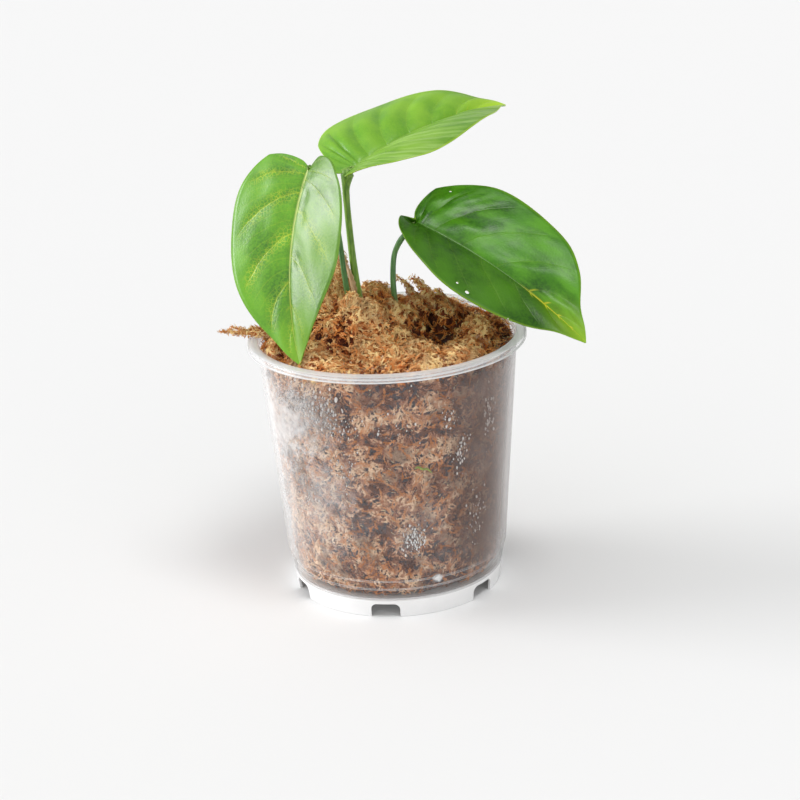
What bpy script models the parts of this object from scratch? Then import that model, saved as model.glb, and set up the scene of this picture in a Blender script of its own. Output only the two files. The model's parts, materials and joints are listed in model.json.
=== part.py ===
# A young anadendrum in a clear plastic nursery pot filled with sphagnum moss.
# Metres, +Z up. The front of the plant faces -Y. Sizes below are in millimetres.

import math
import random

import bmesh
import bpy
from mathutils import Matrix, Vector, noise

mm = 0.001

# The pot, a turned moulding
potSides = 64
rimTop = 113.4        # height of the rim's top face
rimRadius = 60.0
rimLip = 3.0          # how far the rim's edge turns down
rimInner = 55.2
wallTop = 55.9        # outer wall radius under the rim
wallFoot = 48.3       # outer wall radius at the step
stepHeight = 17.7
stepIn = 0.8
wallThick = 1.0
floorTop = 8.8
floorThick = 1.0
footRadius = 45.3
footThick = 1.0
notchCount = 6
notchWidth = 12.5
notchHeight = 6.3
notchFirst = -38.5    # degrees round from +X
drainRing = 26.0
drainRadius = 4.0
clearGap = 0.3        # between pieces that touch

# The moss
mossSides = 48
mossBase = 2.4        # general level above the rim
hillHeight = 17.0     # mound round the petioles
hillSpread = 17.0
hillX, hillY = -14.0, 7.0
knollHeight = 8.0     # smaller mound at the back right
knollSpread = 9.0
knollX, knollY = 27.0, 12.0
lumpHeight = 5.2      # relief of the moss top
hollowDepth = 2.2     # hollows along the wall
tuftCount = 70
tuftSeed = 7

# The stem that the petioles grow from, in the moss
stemRadius = 3.4
rootRadius = 1.1
holeGap = 0.35

# The leaves
bladeThick = 0.7
keelThick = 1.4       # blade and raised midrib together, near the petiole
leafRows = 22
leafColumns = 5
rowsPerVein = 3
quiltHeight = 0.55    # how far the blade swells between two veins
marginWave = 0.7

# Each blade: base point, length and half widths, how it points (degrees),
# how it bends on the way to its tip, and its outline as (across, along).
leaves = {
    "leaf_left": {
        "base": (-28.5, -13.4, 190.1), "length": 82.7, "wide": (29.7, 30.0),
        "heading": -146.4, "pitch": -62.5, "roll": -11.3, "arch": 19.7,
        "sweep": 28.7, "twist": -16.3, "fold": 12.6, "droop": 0.05,
        "lobes": (1.11, 0.4),
        "outline": [(0.17, -0.066), (0.50, -0.054), (0.83, 0.059), (1.0, 0.216),
                    (0.97, 0.404), (0.82, 0.581), (0.576, 0.736), (0.30, 0.858),
                    (0.12, 0.945), (0.0, 1.0)]},
    "leaf_top": {
        "base": (-10.9, 0.8, 185.5), "length": 91.9, "wide": (35.6, 29.3),
        "heading": 41.2, "pitch": 19.5, "roll": -0.2, "arch": 24.8,
        "sweep": -1.5, "twist": 10.0, "fold": 22.3, "droop": 0.30,
        "lobes": (1.08, 1.19),
        "outline": [(0.11, -0.062), (0.45, -0.01), (0.82, 0.069), (1.01, 0.192),
                    (0.97, 0.385), (0.82, 0.578), (0.584, 0.746), (0.31, 0.868),
                    (0.12, 0.945), (0.0, 1.0)]},
    "leaf_right": {
        "base": (14.6, -2.9, 162.3), "length": 89.1, "wide": (33.8, 28.8),
        "heading": -17.7, "pitch": -24.1, "roll": 17.6, "arch": 10.1,
        "sweep": -19.9, "twist": 26.5, "fold": 16.6, "droop": 0.08,
        "lobes": (0.35, 1.06),
        "outline": [(0.13, -0.062), (0.484, -0.032), (0.83, 0.079), (1.01, 0.236),
                    (0.985, 0.43), (0.84, 0.611), (0.585, 0.753), (0.293, 0.855),
                    (0.12, 0.945), (0.0, 1.0)]},
}
veinStarts = [0.0, 0.012, 0.03, 0.075, 0.19, 0.35, 0.52, 0.70, 0.85, 1.0]

# Where each petiole runs, from the buried stem up, and its radius at both ends
petioles = {
    "leaf_left": ([(-12, 2.4, 108), (-14.2, 1.0, 118), (-15.2, 0, 128.4), (-16.6, -0.5, 142),
                   (-17.8, -1, 155.5), (-19.4, -2.2, 169), (-22.0, -4.6, 181)], 1.3, 0.95),
    "leaf_top": ([(-9.5, 4.2, 110), (-11.0, 4.2, 122), (-12.2, 3.5, 133), (-13.0, 2.8, 147),
                  (-13.5, 2.0, 161), (-13.9, 1.6, 172), (-13.8, 1.2, 179)], 1.8, 1.15),
    "leaf_right": ([(-3.5, 3.2, 109), (1.6, 2.6, 114), (3.7, 2.0, 123.5), (3.1, 1.5, 136),
                    (3.8, 1.0, 146.2), (6.1, 0, 152.5), (9.6, -1.6, 157.6)], 1.3, 0.95),
}
sheathBottom, sheathTop = 122.0, 144.0
sheathInner = 2.75    # clear of the petiole it stood round
sheathHole = 4.05

colours = {
    "pot": (0.86, 0.87, 0.87), "moss": (0.50, 0.30, 0.14), "stem": (0.16, 0.33, 0.08),
    "sheath": (0.62, 0.42, 0.22), "leaf_left": (0.16, 0.38, 0.07),
    "leaf_top": (0.26, 0.52, 0.09), "leaf_right": (0.09, 0.30, 0.05)}


def clearScene():
    for item in list(bpy.data.objects):
        bpy.data.objects.remove(item, do_unlink=True)


def material(name):
    mat = bpy.data.materials.new(name)
    mat.use_nodes = True
    shader = mat.node_tree.nodes["Principled BSDF"]
    shader.inputs["Base Color"].default_value = (*colours[name], 1.0)
    shader.inputs["Roughness"].default_value = 0.3 if name == "pot" else 0.6
    return mat


def addObject(name, mesh, collection=None):
    item = bpy.data.objects.new(name, mesh)
    (collection or bpy.context.scene.collection).objects.link(item)
    return item


def newCollection(name):
    group = bpy.data.collections.new(name)
    bpy.context.scene.collection.children.link(group)
    return group


def applied(item, weld=0.00001):
    """The object's modified shape as a mesh, with points nearer than weld joined."""
    bpy.context.view_layer.update()
    shape = item.evaluated_get(bpy.context.evaluated_depsgraph_get())
    mesh = bpy.data.meshes.new_from_object(shape)
    work = bmesh.new()
    work.from_mesh(mesh)
    bmesh.ops.remove_doubles(work, verts=work.verts, dist=weld)
    bmesh.ops.recalc_face_normals(work, faces=work.faces)
    work.to_mesh(mesh)
    work.free()
    return mesh


def smoothed(item, degrees=35.0):
    for face in item.data.polygons:
        face.use_smooth = True
    item.data.set_sharp_from_angle(angle=math.radians(degrees))


def turned(name, points, sides, closed, collection=None):
    """Turn (radius, height) points about Z, from +X, outer side first."""
    mesh = bpy.data.meshes.new(name)
    count = len(points)
    edges = [(i, i + 1) for i in range(count - 1)]
    if closed:
        edges.append((count - 1, 0))
    mesh.from_pydata([(r * mm, 0.0, z * mm) for r, z in points], edges, [])
    item = addObject(name, mesh, collection)
    screw = item.modifiers.new("Turn", "SCREW")
    screw.axis = "Z"
    screw.angle = math.tau
    screw.steps = screw.render_steps = sides
    screw.use_merge_vertices = True
    screw.merge_threshold = 0.00001
    item.data = applied(item)
    item.modifiers.clear()
    return item


def boolean(item, collection, operation, solver):
    """Join or cut with every object of the collection, then remove them."""
    mod = item.modifiers.new("Boolean", "BOOLEAN")
    mod.operation = operation
    mod.operand_type = "COLLECTION"
    mod.collection = collection
    mod.solver = solver
    item.data = applied(item, 0.0000001)
    item.modifiers.clear()
    for other in list(collection.objects):
        bpy.data.objects.remove(other, do_unlink=True)


def smoothPath(points, steps):
    """Points on a smooth line through the given ones."""
    keys = [Vector(p) for p in points]
    keys = [2 * keys[0] - keys[1]] + keys + [2 * keys[-1] - keys[-2]]
    out = []
    for i in range(1, len(keys) - 2):
        a, b, c, d = keys[i - 1:i + 3]
        for j in range(steps):
            t = j / steps
            out.append(0.5 * (2 * b + (c - a) * t + (2 * a - 5 * b + 4 * c - d) * t * t
                              + (3 * b - a - 3 * c + d) * t ** 3))
    out.append(keys[-2])
    return out


def tube(name, points, radii, sides, collection):
    """A closed round tube along millimetre points, one radius for each."""
    curve = bpy.data.curves.new(name, "CURVE")
    curve.dimensions = "3D"
    curve.bevel_depth = mm
    curve.bevel_resolution = max(0, sides // 2 - 2)
    curve.use_fill_caps = True
    line = curve.splines.new("POLY")
    line.points.add(len(points) - 1)
    for knot, place, radius in zip(line.points, points, radii):
        knot.co = (*(Vector(place) * mm), 1.0)
        knot.radius = radius
    item = bpy.data.objects.new(name, curve)
    collection.objects.link(item)
    mesh = applied(item)
    bpy.data.objects.remove(item, do_unlink=True)
    return addObject(name, mesh, collection)


def wallOuter(height):
    return wallFoot + (height - stepHeight) * (wallTop - wallFoot) / (110.0 - stepHeight)


def pot():
    foot = footRadius
    low = wallFoot - stepIn
    profile = [
        (rimRadius - 1.3, rimTop), (rimRadius - 0.4, rimTop - 0.3), (rimRadius, rimTop - 1.0),
        (rimRadius, rimTop - rimLip + 0.4), (rimRadius - 0.35, rimTop - rimLip),
        (rimRadius - 1.0, rimTop - rimLip), (rimRadius - 1.2, rimTop - 1.5),
        (wallTop + 0.8, rimTop - 1.3), (wallTop, rimTop - 2.2),
        (wallFoot, stepHeight), (low, stepHeight - 0.9), (low - 0.3, 13.5),
        (low - 0.65, 13.0), (foot + 0.9, floorTop - 1), (foot, 0.0),
        (foot - footThick, 0.0), (foot - 0.2, floorTop - floorThick - 0.5),
        (foot - 0.8, floorTop - floorThick),
        (5.0, floorTop - floorThick), (5.0, floorTop),
        (foot - 0.9, floorTop), (foot - 0.1, floorTop + 0.8), (low - 1.65, 13.2),
        (low - 1.0, stepHeight - 0.7), (wallFoot - wallThick, stepHeight + 0.3),
        (wallTop - wallThick, rimTop - 2.6), (rimInner, rimTop - 0.5), (rimInner + 0.5, rimTop)]
    item = turned("pot", profile, potSides, True)
    cutters = newCollection("PotCutters")
    for i in range(notchCount):
        turn = math.radians(notchFirst + i * 360 / notchCount)
        bpy.ops.mesh.primitive_cube_add(size=1.0)
        box = bpy.context.object
        box.name = f"notch_{i}"
        deep = 8.0
        box.data.transform(Matrix.Diagonal((deep * mm, notchWidth * mm, 2 * notchHeight * mm, 1)))
        box.location = (foot * mm * math.cos(turn), foot * mm * math.sin(turn), 0)
        box.rotation_euler.z = turn
        bevel = box.modifiers.new("Round", "BEVEL")
        bevel.width = 2.6 * mm
        bevel.segments = 3
        bevel.limit_method = "WEIGHT"
        weights = box.data.attributes.new("bevel_weight_edge", "FLOAT", "EDGE")
        for edge in box.data.edges:
            a, b = (box.data.vertices[k].co for k in edge.vertices)
            weights.data[edge.index].value = 1.0 if abs(a.x - b.x) > deep * mm / 2 else 0.0
        moveTo(box, cutters)
        turn += math.radians(180 / notchCount)
        bpy.ops.mesh.primitive_cylinder_add(
            vertices=16, radius=drainRadius * mm, depth=6 * mm,
            location=(drainRing * mm * math.cos(turn), drainRing * mm * math.sin(turn),
                      (floorTop - floorThick / 2) * mm))
        bpy.context.object.name = f"drain_{i}"
        moveTo(bpy.context.object, cutters)
    boolean(item, cutters, "DIFFERENCE", "EXACT")
    smoothed(item)
    return item


def moveTo(item, collection):
    for group in list(item.users_collection):
        group.objects.unlink(item)
    collection.objects.link(item)
    item.hide_render = True
    item.display_type = "WIRE"


def mossHeight(x, y):
    """Height of the moss top in millimetres at a point of the pot."""
    hill = hillHeight * math.exp(-((x - hillX) ** 2 + (y - hillY) ** 2) / (2 * hillSpread ** 2))
    knoll = knollHeight * math.exp(-((x - knollX) ** 2 + (y - knollY) ** 2)
                                   / (2 * knollSpread ** 2))
    spot = Vector((x, y, 3.0))
    lump = noise.noise(spot / 9.0) + 0.6 * noise.noise(spot / 4.3)
    edge = min(1.0, max(0.0, (53.8 - math.hypot(x, y)) / 6.0))
    fall = (1.0 - edge) ** 2 * 4.0
    return rimTop + mossBase + hill + knoll + lumpHeight * lump * (0.35 + 0.65 * edge) - fall


def mossCore():
    """The filling: it follows the pot's inside, with hollows and a mound."""
    top = rimTop - 0.5
    rings = [(r, top) for r in (0.0, 3.2, 7.6, 12.2, 16.8, 21.4, 26.0, 30.6, 35.2, 39.8,
                                44.4, 48.6, 52.0)]
    levels = [top - 1.5, 104, 94, 84, 74, 64, 54, 44, 34, 25, 19.2]
    sides = [(wallOuter(z) - wallThick - clearGap, z) for z in levels]
    step = wallFoot - stepIn - wallThick - clearGap
    sides += [(step - 0.3, stepHeight - 0.4), (step - 0.75, 13.2), (step - 1.5, 10.4)]
    low = floorTop + clearGap
    base = [(step - 2.4, low), (30.0, low), (0.0, low)]
    item = turned("moss", rings + sides + base, mossSides, False)
    for vert in item.data.vertices:
        x, y, z = vert.co / mm
        radius = math.hypot(x, y)
        if z > top - 0.1:
            vert.co.z = mossHeight(x, y) * mm
        elif low + 1 < z:
            dent = noise.noise(Vector((x, y, z)) / 8.0) + 0.5 * noise.noise(Vector((x, y, z)) / 4)
            inward = 1.0 - hollowDepth * max(0.0, dent) / radius
            vert.co.x *= inward
            vert.co.y *= inward
    return item


def addTufts(group):
    """Short curved strands, rooted well in the moss top, by a seeded rule."""
    draw = random.Random(tuftSeed)
    golden = math.pi * (3 - math.sqrt(5))
    for i in range(tuftCount):
        radius = 50.5 * math.sqrt((i + 0.5) / tuftCount)
        turn = i * golden
        x, y = radius * math.cos(turn), radius * math.sin(turn)
        heading = draw.uniform(0, math.tau)
        length = draw.uniform(6.5, 12.0)
        inwards = Vector((-x, -y)) / max(radius, 1) * max(0.0, radius - 38) / 13
        lean = Vector((math.cos(heading), math.sin(heading))) + 1.6 * inwards
        lean.normalize()
        rise = draw.uniform(0.25, 0.75)
        foot = Vector((x, y, mossHeight(x, y) - 2.6))
        bend = draw.uniform(-0.5, 0.5)
        side = Vector((-lean.y, lean.x, 0)) * bend
        along = Vector((lean.x, lean.y, 0))
        points = [foot, foot + along * length * 0.3 + Vector((0, 0, 2.6 + length * rise * 0.25)),
                  foot + (along + side * 0.5) * length * 0.65
                  + Vector((0, 0, 3.4 + length * rise * 0.4)),
                  foot + (along + side) * length + Vector((0, 0, 3.2 + length * rise * 0.3))]
        thick = draw.uniform(0.9, 1.5)
        tube(f"tuft_{i}", points, [thick * 1.3, thick, thick * 0.8, thick * 0.35], 4, group)


def addSprays(group):
    """The dark tuft over the rim's left, the wisp and the peak by the petioles."""
    over = rimTop + 2.9
    tube("sprig", [(-44, -2, rimTop - 1.5), (-50, -1.5, over - 0.6), (-57, -1, over),
                   (-64, -0.5, over + 0.7), (-71.4, 0, over + 1.2)], [2.6, 2.4, 2.0, 1.7, 0.6], 6, group)
    tube("sprig_low", [(-46, 2.5, rimTop), (-53, 1.8, over + 0.3), (-61, 1.6, over + 0.6),
                       (-67, 2.4, over + 2.3)], [2.0, 1.5, 1.2, 0.4], 6, group)
    tube("wisp", [(17, 9, rimTop + 4), (13.5, 9.5, 124), (9.5, 10, 131), (5.6, 10, 135)],
         [2.6, 2.2, 1.6, 0.5], 6, group)
    tube("wisp_back", [(22, 12, rimTop + 4), (18, 12, 126), (15, 12.5, 131), (11.5, 13, 133)],
         [2.6, 2.4, 1.7, 0.5], 6, group)
    tube("peak", [(-20, 9, 126), (-19, 8.5, 136), (-17.8, 8.5, 142), (-17, 8.5, 147)],
         [4.2, 3.4, 2.2, 0.5], 6, group)


def lengthened(points, by):
    """The same path, moved out by that much at both ends."""
    points = [Vector(p) for p in points]
    first = (points[0] - points[1]).normalized() * by
    last = (points[-1] - points[-2]).normalized() * by
    return [points[0] + first] + points[1:-1] + [points[-1] + last]


def stemTubes(group, extra):
    """The buried stem, its roots and the three petioles, each grown by extra."""
    stem = smoothPath([(-17, 2.6, 103), (-11, 3.2, 108), (-4, 3.4, 109), (2, 3.2, 106)], 2)
    tube("stem_core", lengthened(stem, extra), [stemRadius + extra] * len(stem), 8, group)
    draw = random.Random(3)
    for i in range(4):
        start = Vector((-14 + 4.4 * i, 3.0, 105.5))
        turn = math.tau * (i + 0.3) / 4
        points = [start]
        for j in range(1, 5):
            out = Vector((math.cos(turn), math.sin(turn), 0)) * (4 + 7 * j)
            sway = Vector((draw.uniform(-2, 2), draw.uniform(-2, 2), 0))
            points.append(start + out + sway - Vector((0, 0, 3 + 13 * j)))
        radii = [rootRadius * (1 - 0.1 * j) + extra for j in range(5)]
        tube(f"root_{i}", lengthened(points, extra), radii, 4, group)
    for name, (points, low, high) in petioles.items():
        base, along, side, up = leafFrame(leaves[name])
        end = base - up * (keelThick - 0.58) - along * 0.3
        path = smoothPath(list(points) + [tuple(end)], 2)
        count = len(path) - 1
        radii = [low + (high - low) * k / count + extra for k in range(count + 1)]
        if extra:
            path, radii = path[:10], radii[:10]
        tube(f"petiole_{name}", path, radii, 8, group)


def moss():
    item = mossCore()
    group = newCollection("MossParts")
    addTufts(group)
    addSprays(group)
    boolean(item, group, "UNION", "MANIFOLD")
    cutters = newCollection("MossCutters")
    stemTubes(cutters, holeGap)
    tube("hole", [(-11.2, 4.0, sheathBottom - 0.4), (-12.0, 3.7, 130), (-13.2, 2.7, 152)],
         [sheathHole] * 3, 12, cutters)
    boolean(item, cutters, "DIFFERENCE", "MANIFOLD")
    keepLargest(item)
    smoothed(item, 50)
    return item


def keepLargest(item):
    """Drop any scrap that a cut has freed from the main body."""
    work = bmesh.new()
    work.from_mesh(item.data)
    left = set(work.verts)
    groups = []
    while left:
        stack, found = [left.pop()], []
        while stack:
            vert = stack.pop()
            found.append(vert)
            for edge in vert.link_edges:
                other = edge.other_vert(vert)
                if other in left:
                    left.discard(other)
                    stack.append(other)
        groups.append(found)
    groups.sort(key=len)
    scraps = [vert for found in groups[:-1] for vert in found]
    bmesh.ops.delete(work, geom=scraps, context="VERTS")
    work.to_mesh(item.data)
    work.free()


def stem():
    group = newCollection("StemParts")
    stemTubes(group, 0.0)
    core = group.objects["stem_core"]
    group.objects.unlink(core)
    bpy.context.scene.collection.objects.link(core)
    core.name = "stem"
    boolean(core, group, "UNION", "MANIFOLD")
    smoothed(core, 50)
    return core


def sheath():
    """The papery husk round the left of the top petiole's foot."""
    mesh = bpy.data.meshes.new("sheath")
    work = bmesh.new()
    columns, rows = 7, 6
    grid = []
    for j in range(rows):
        up = j / (rows - 1)
        height = sheathBottom + (sheathTop - sheathBottom) * up
        spread = math.radians(62) * (1 - 0.86 * up ** 1.6)
        centre = Vector((-11.1 - 1.9 * up, 4.2 - 1.2 * up, 0))
        line = []
        for i in range(columns):
            turn = math.radians(168) + spread * (2 * i / (columns - 1) - 1)
            reach = sheathInner + 0.9 * up
            line.append(work.verts.new((centre + Vector((
                reach * math.cos(turn), reach * math.sin(turn), height))) * mm))
        grid.append(line)
    for j in range(rows - 1):
        for i in range(columns - 1):
            work.faces.new((grid[j][i], grid[j][i + 1], grid[j + 1][i + 1], grid[j + 1][i]))
    bmesh.ops.triangulate(work, faces=work.faces)
    work.to_mesh(mesh)
    work.free()
    item = addObject("sheath", mesh)
    solid = item.modifiers.new("Thick", "SOLIDIFY")
    solid.thickness = 0.65 * mm
    solid.offset = 1.0
    item.data = applied(item)
    item.modifiers.clear()
    smoothed(item, 50)
    return item


def leafFrame(leaf):
    """Base point and the directions along, across and up at a blade's base."""
    turn, tilt, roll = (math.radians(leaf[k]) for k in ("heading", "pitch", "roll"))
    along = Vector((math.cos(turn) * math.cos(tilt), math.sin(turn) * math.cos(tilt),
                    math.sin(tilt)))
    side = Vector((-math.sin(turn), math.cos(turn), 0))
    up = along.cross(side)
    side, up = (side * math.cos(roll) + up * math.sin(roll),
                up * math.cos(roll) - side * math.sin(roll))
    return Vector(leaf["base"]), along, side, up


def onMidrib(leaf, share):
    """Point and directions on the bent midrib at a share of the length."""
    base, along, side, up = leafFrame(leaf)
    arch, sweep = math.radians(leaf["arch"]), math.radians(leaf["sweep"])

    def heading(k):
        return (along * math.cos(arch * k) * math.cos(sweep * k) + side * math.sin(sweep * k)
                - up * math.sin(arch * k) * math.cos(sweep * k))

    steps = 24
    place = base.copy()
    for i in range(steps):
        place += heading(share * (i + 0.5) / steps) * (leaf["length"] * share / steps)
    front = heading(share)
    over = along * math.sin(arch * share) + up * math.cos(arch * share)
    across = over.cross(front).normalized()
    over = front.cross(across)
    twist = math.radians(leaf["twist"]) * max(0.0, min(1.0, share))
    across, over = (across * math.cos(twist) + over * math.sin(twist),
                    over * math.cos(twist) - across * math.sin(twist))
    return place, across, over


def leafPoint(leaf, hand, across, share, lift):
    """A blade point: half width share across, length share along, lift up."""
    place, side, up = onMidrib(leaf, share)
    wide = leaf["wide"][0 if hand > 0 else 1]
    out = across * wide
    fold = math.radians(leaf["fold"])
    raised = out * math.sin(fold) - leaf["droop"] * out * out / wide
    return place + side * (hand * out * math.cos(fold)) + up * (raised + lift)


def leafRelief(row, column, hand):
    """Swelling between the side veins and the wave of the margin."""
    share = column / leafColumns
    phase = math.tau * row / rowsPerVein
    swell = quiltHeight * 0.5 * (1 - math.cos(phase)) * math.sin(math.pi * min(1, share * 1.1))
    wave = marginWave * math.sin(row * 0.9 + (1.1 if hand > 0 else 2.6)) * share ** 3
    return (swell + wave) * min(1.0, row / 3, (leafRows - row) / 4)


def leafGrid(leaf):
    """Rows of blade points, each from margin to midrib to margin."""
    keys = [(a, b, c) for (a, b), c in zip(leaf["outline"], veinStarts)]
    line = smoothPath(keys, 8)
    last = len(line) - 1
    rows = []
    for i in range(leafRows):
        along = i / leafRows
        spot = along * last
        low = min(int(spot), last - 1)
        wide, reach, start = line[low].lerp(line[low + 1], spot - low)
        row = []
        for column in range(-leafColumns, leafColumns + 1):
            hand = -1 if column < 0 else 1
            share = abs(column) / leafColumns
            lobe = leaf["lobes"][0 if hand > 0 else 1]
            end = reach * lobe if reach < 0 else reach
            there = start + (end - start) * share ** 1.25
            lift = leafRelief(i, abs(column), hand)
            row.append(leafPoint(leaf, hand, wide * share, there, lift))
        rows.append(row)
    return rows, leafPoint(leaf, 1, 0.0, 1.0, 0.0)


def blade(name):
    """One leaf blade: a waved sheet made solid, thicker under the midrib."""
    rows, tip = leafGrid(leaves[name])
    mesh = bpy.data.meshes.new(name)
    work = bmesh.new()
    grid = [[work.verts.new(p * mm) for p in row] for row in rows]
    point = work.verts.new(tip * mm)
    for low, high in zip(grid[:-1], grid[1:]):
        for i in range(len(low) - 1):
            if i < leafColumns:
                work.faces.new((low[i], low[i + 1], high[i]))
                work.faces.new((low[i + 1], high[i + 1], high[i]))
            else:
                work.faces.new((low[i], low[i + 1], high[i + 1]))
                work.faces.new((low[i], high[i + 1], high[i]))
    for a, b in zip(grid[-1][:-1], grid[-1][1:]):
        work.faces.new((a, b, point))
    work.to_mesh(mesh)
    work.free()
    item = addObject(name, mesh)
    keel = item.vertex_groups.new(name="Keel")
    wide = 2 * leafColumns + 1
    for i in range(leafRows):
        for j in range(wide):
            middle = j == leafColumns
            share = 1 - 0.5 * i / leafRows if middle else bladeThick / keelThick
            keel.add([i * wide + j], share, "REPLACE")
    keel.add([leafRows * wide], bladeThick / keelThick, "REPLACE")
    solid = item.modifiers.new("Thick", "SOLIDIFY")
    solid.thickness = keelThick * mm
    solid.offset = -1.0
    solid.vertex_group = "Keel"
    item.data = applied(item)
    item.modifiers.clear()
    smoothed(item, 60)
    return item


def build():
    clearScene()
    pieces = [pot(), moss(), stem(), sheath()] + [blade(name) for name in leaves]
    for group in list(bpy.data.collections):
        bpy.data.collections.remove(group)
    plant = newCollection("PottedAnadendrum")
    for item in pieces:
        bpy.context.scene.collection.objects.unlink(item)
        plant.objects.link(item)
    corners = [item.matrix_world @ vert.co for item in pieces for vert in item.data.vertices]
    middle = Vector([(min(c[i] for c in corners) + max(c[i] for c in corners)) / 2
                     for i in range(3)])
    for item in pieces:
        item.data.materials.clear()
        item.data.materials.append(material(item.name))
        item.location.x -= middle.x
        item.location.y -= middle.y


build()
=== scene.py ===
import json
import math
import random
from functools import partial

import bmesh
import bpy
import numpy as np
from mathutils import Matrix, Vector, noise

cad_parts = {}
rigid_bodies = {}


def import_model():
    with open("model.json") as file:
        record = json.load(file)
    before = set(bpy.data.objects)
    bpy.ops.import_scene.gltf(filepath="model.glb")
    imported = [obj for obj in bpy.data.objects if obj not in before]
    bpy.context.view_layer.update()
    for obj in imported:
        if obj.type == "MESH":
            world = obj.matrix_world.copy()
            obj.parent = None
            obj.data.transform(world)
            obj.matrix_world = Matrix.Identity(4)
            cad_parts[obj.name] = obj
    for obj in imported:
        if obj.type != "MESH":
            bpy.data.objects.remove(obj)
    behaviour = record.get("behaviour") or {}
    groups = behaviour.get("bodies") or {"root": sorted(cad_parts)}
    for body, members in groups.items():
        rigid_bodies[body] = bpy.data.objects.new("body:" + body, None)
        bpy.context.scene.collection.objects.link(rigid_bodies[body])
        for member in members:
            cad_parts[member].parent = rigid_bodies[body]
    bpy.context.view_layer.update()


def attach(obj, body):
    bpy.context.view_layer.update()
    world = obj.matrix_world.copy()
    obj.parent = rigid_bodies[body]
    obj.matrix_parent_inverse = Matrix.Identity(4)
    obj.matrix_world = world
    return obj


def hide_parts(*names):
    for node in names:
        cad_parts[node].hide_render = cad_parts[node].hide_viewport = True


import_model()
scene = bpy.context.scene
mm = 0.001
potAxis = -5.201  # the pot's axis lies this far from the origin along X, in mm
print("frame loaded")


# A young anadendrum in a clear nursery pot of sphagnum moss.
# Sizes are in millimetres from the pot's axis, turned into metres at the last step.
# Azimuths are in degrees, 0 at the front and 90 at the right.

def toWorld(point):
    return Vector(((point[0] + potAxis) * mm, point[1] * mm, point[2] * mm))


def polar(radius, turn, height=0.0):
    return radius * math.cos(turn), radius * math.sin(turn), height


def turnPair(first, second, turn):
    # two vectors at right angles, turned in their own plane
    return (first * np.cos(turn) + second * np.sin(turn),
            second * np.cos(turn) - first * np.sin(turn))


def makeObject(name, data):
    item = bpy.data.objects.new(name, data)
    scene.collection.objects.link(item)
    return item


# Camera at the photograph's angle

cameraValues = {
    "place": (0.0, -839.26, 381.72), "target": (4.25, 8.28, 78.98),
    "roll": -2.949, "lens": 92.36, "sensor": 36.0, "farthest": 60}


def makeCamera(values):
    data = bpy.data.cameras.new("photoCamera")
    data.lens, data.sensor_width = values["lens"], values["sensor"]
    data.clip_end = values["farthest"]
    scene.camera = makeObject("photoCamera", data)
    place = toWorld(values["place"])
    ahead = (toWorld(values["target"]) - place).normalized()
    level = ahead.cross(Vector((0, 0, 1))).normalized()
    right, top = turnPair(level, level.cross(ahead), math.radians(values["roll"]))
    turn = Matrix((right, top, -ahead)).transposed().to_4x4()
    scene.camera.matrix_world = Matrix.Translation(place) @ turn


makeCamera(cameraValues)
print("camera placed")


# Helpers for node trees: they all work on the tree in hand

inHand = {}


def newMaterial(name):
    material = bpy.data.materials.new(name)
    material.use_nodes = True
    inHand["tree"] = material.node_tree
    return material


def feed(node, inputs):
    # links what is a socket and sets what is a plain value
    for key, value in inputs.items():
        if isinstance(value, bpy.types.NodeSocket):
            inHand["tree"].links.new(value, node.inputs[key])
        else:
            node.inputs[key].default_value = value
    return node


def dress(material, inputs):
    feed(material.node_tree.nodes["Principled BSDF"], inputs)
    return material


def addNode(kind, inputs=None, **settings):
    node = inHand["tree"].nodes.new(kind)
    for key, value in settings.items():
        setattr(node, key, value)
    return feed(node, inputs or {})


def mathNode(operation, first, second=0.0, third=0.0, clamp=False):
    return addNode("ShaderNodeMath", {0: first, 1: second, 2: third}, operation=operation,
                   use_clamp=clamp).outputs[0]


add, subtract, multiply, mulAdd = (
    partial(mathNode, kind) for kind in ("ADD", "SUBTRACT", "MULTIPLY", "MULTIPLY_ADD"))


def pingPong(value, scale=0.5):
    return mathNode("PINGPONG", value, scale)


def vectorMath(operation, first, second):
    return addNode("ShaderNodeVectorMath", {0: first, 1: second}, operation=operation).outputs


def smoothStep(value, low, high, outLow=0.0, outHigh=1.0):
    return addNode("ShaderNodeMapRange", {
        "Value": value, "From Min": low, "From Max": high, "To Min": outLow, "To Max": outHigh},
        interpolation_type="SMOOTHSTEP").outputs["Result"]


def mixColour(share, first, second, blend="MIX"):
    first, second = (colour if isinstance(colour, bpy.types.NodeSocket) else (*colour, 1.0)
                     for colour in (first, second))
    return addNode("ShaderNodeMix", {0: share, 6: first, 7: second}, data_type="RGBA",
                   blend_type=blend).outputs[2]


def noiseNode(coordinates, scale, detail=4.0, roughness=0.55):
    return addNode("ShaderNodeTexNoise", {
        "Vector": coordinates, "Scale": scale, "Detail": detail,
        "Roughness": roughness}).outputs["Fac"]


def rampNode(value, stops):
    node = addNode("ShaderNodeValToRGB", {"Fac": value})
    ramp = node.color_ramp
    while len(ramp.elements) < len(stops):
        ramp.elements.new(0.5)
    for element, (place, colour) in zip(ramp.elements, stops):
        element.position = place
        element.color = (*colour, 1.0)
    return node.outputs["Color"]


def bumpNode(height, strength, distance):
    return addNode("ShaderNodeBump", {
        "Height": height, "Strength": strength, "Distance": distance}).outputs["Normal"]


def objectPlace():
    return addNode("ShaderNodeTexCoord").outputs["Object"]


def attributeNode(name):
    return addNode("ShaderNodeAttribute", attribute_name=name).outputs["Fac"]


def facingNode(blend):
    return addNode("ShaderNodeLayerWeight", {"Blend": blend}).outputs["Facing"]


def separate(vector):
    return addNode("ShaderNodeSeparateXYZ", {"Vector": vector}).outputs


def combine(**parts):
    return addNode("ShaderNodeCombineXYZ", parts).outputs[0]


def mapParts(name):
    return separate(addNode("ShaderNodeUVMap", uv_map=name).outputs["UV"])


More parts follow.
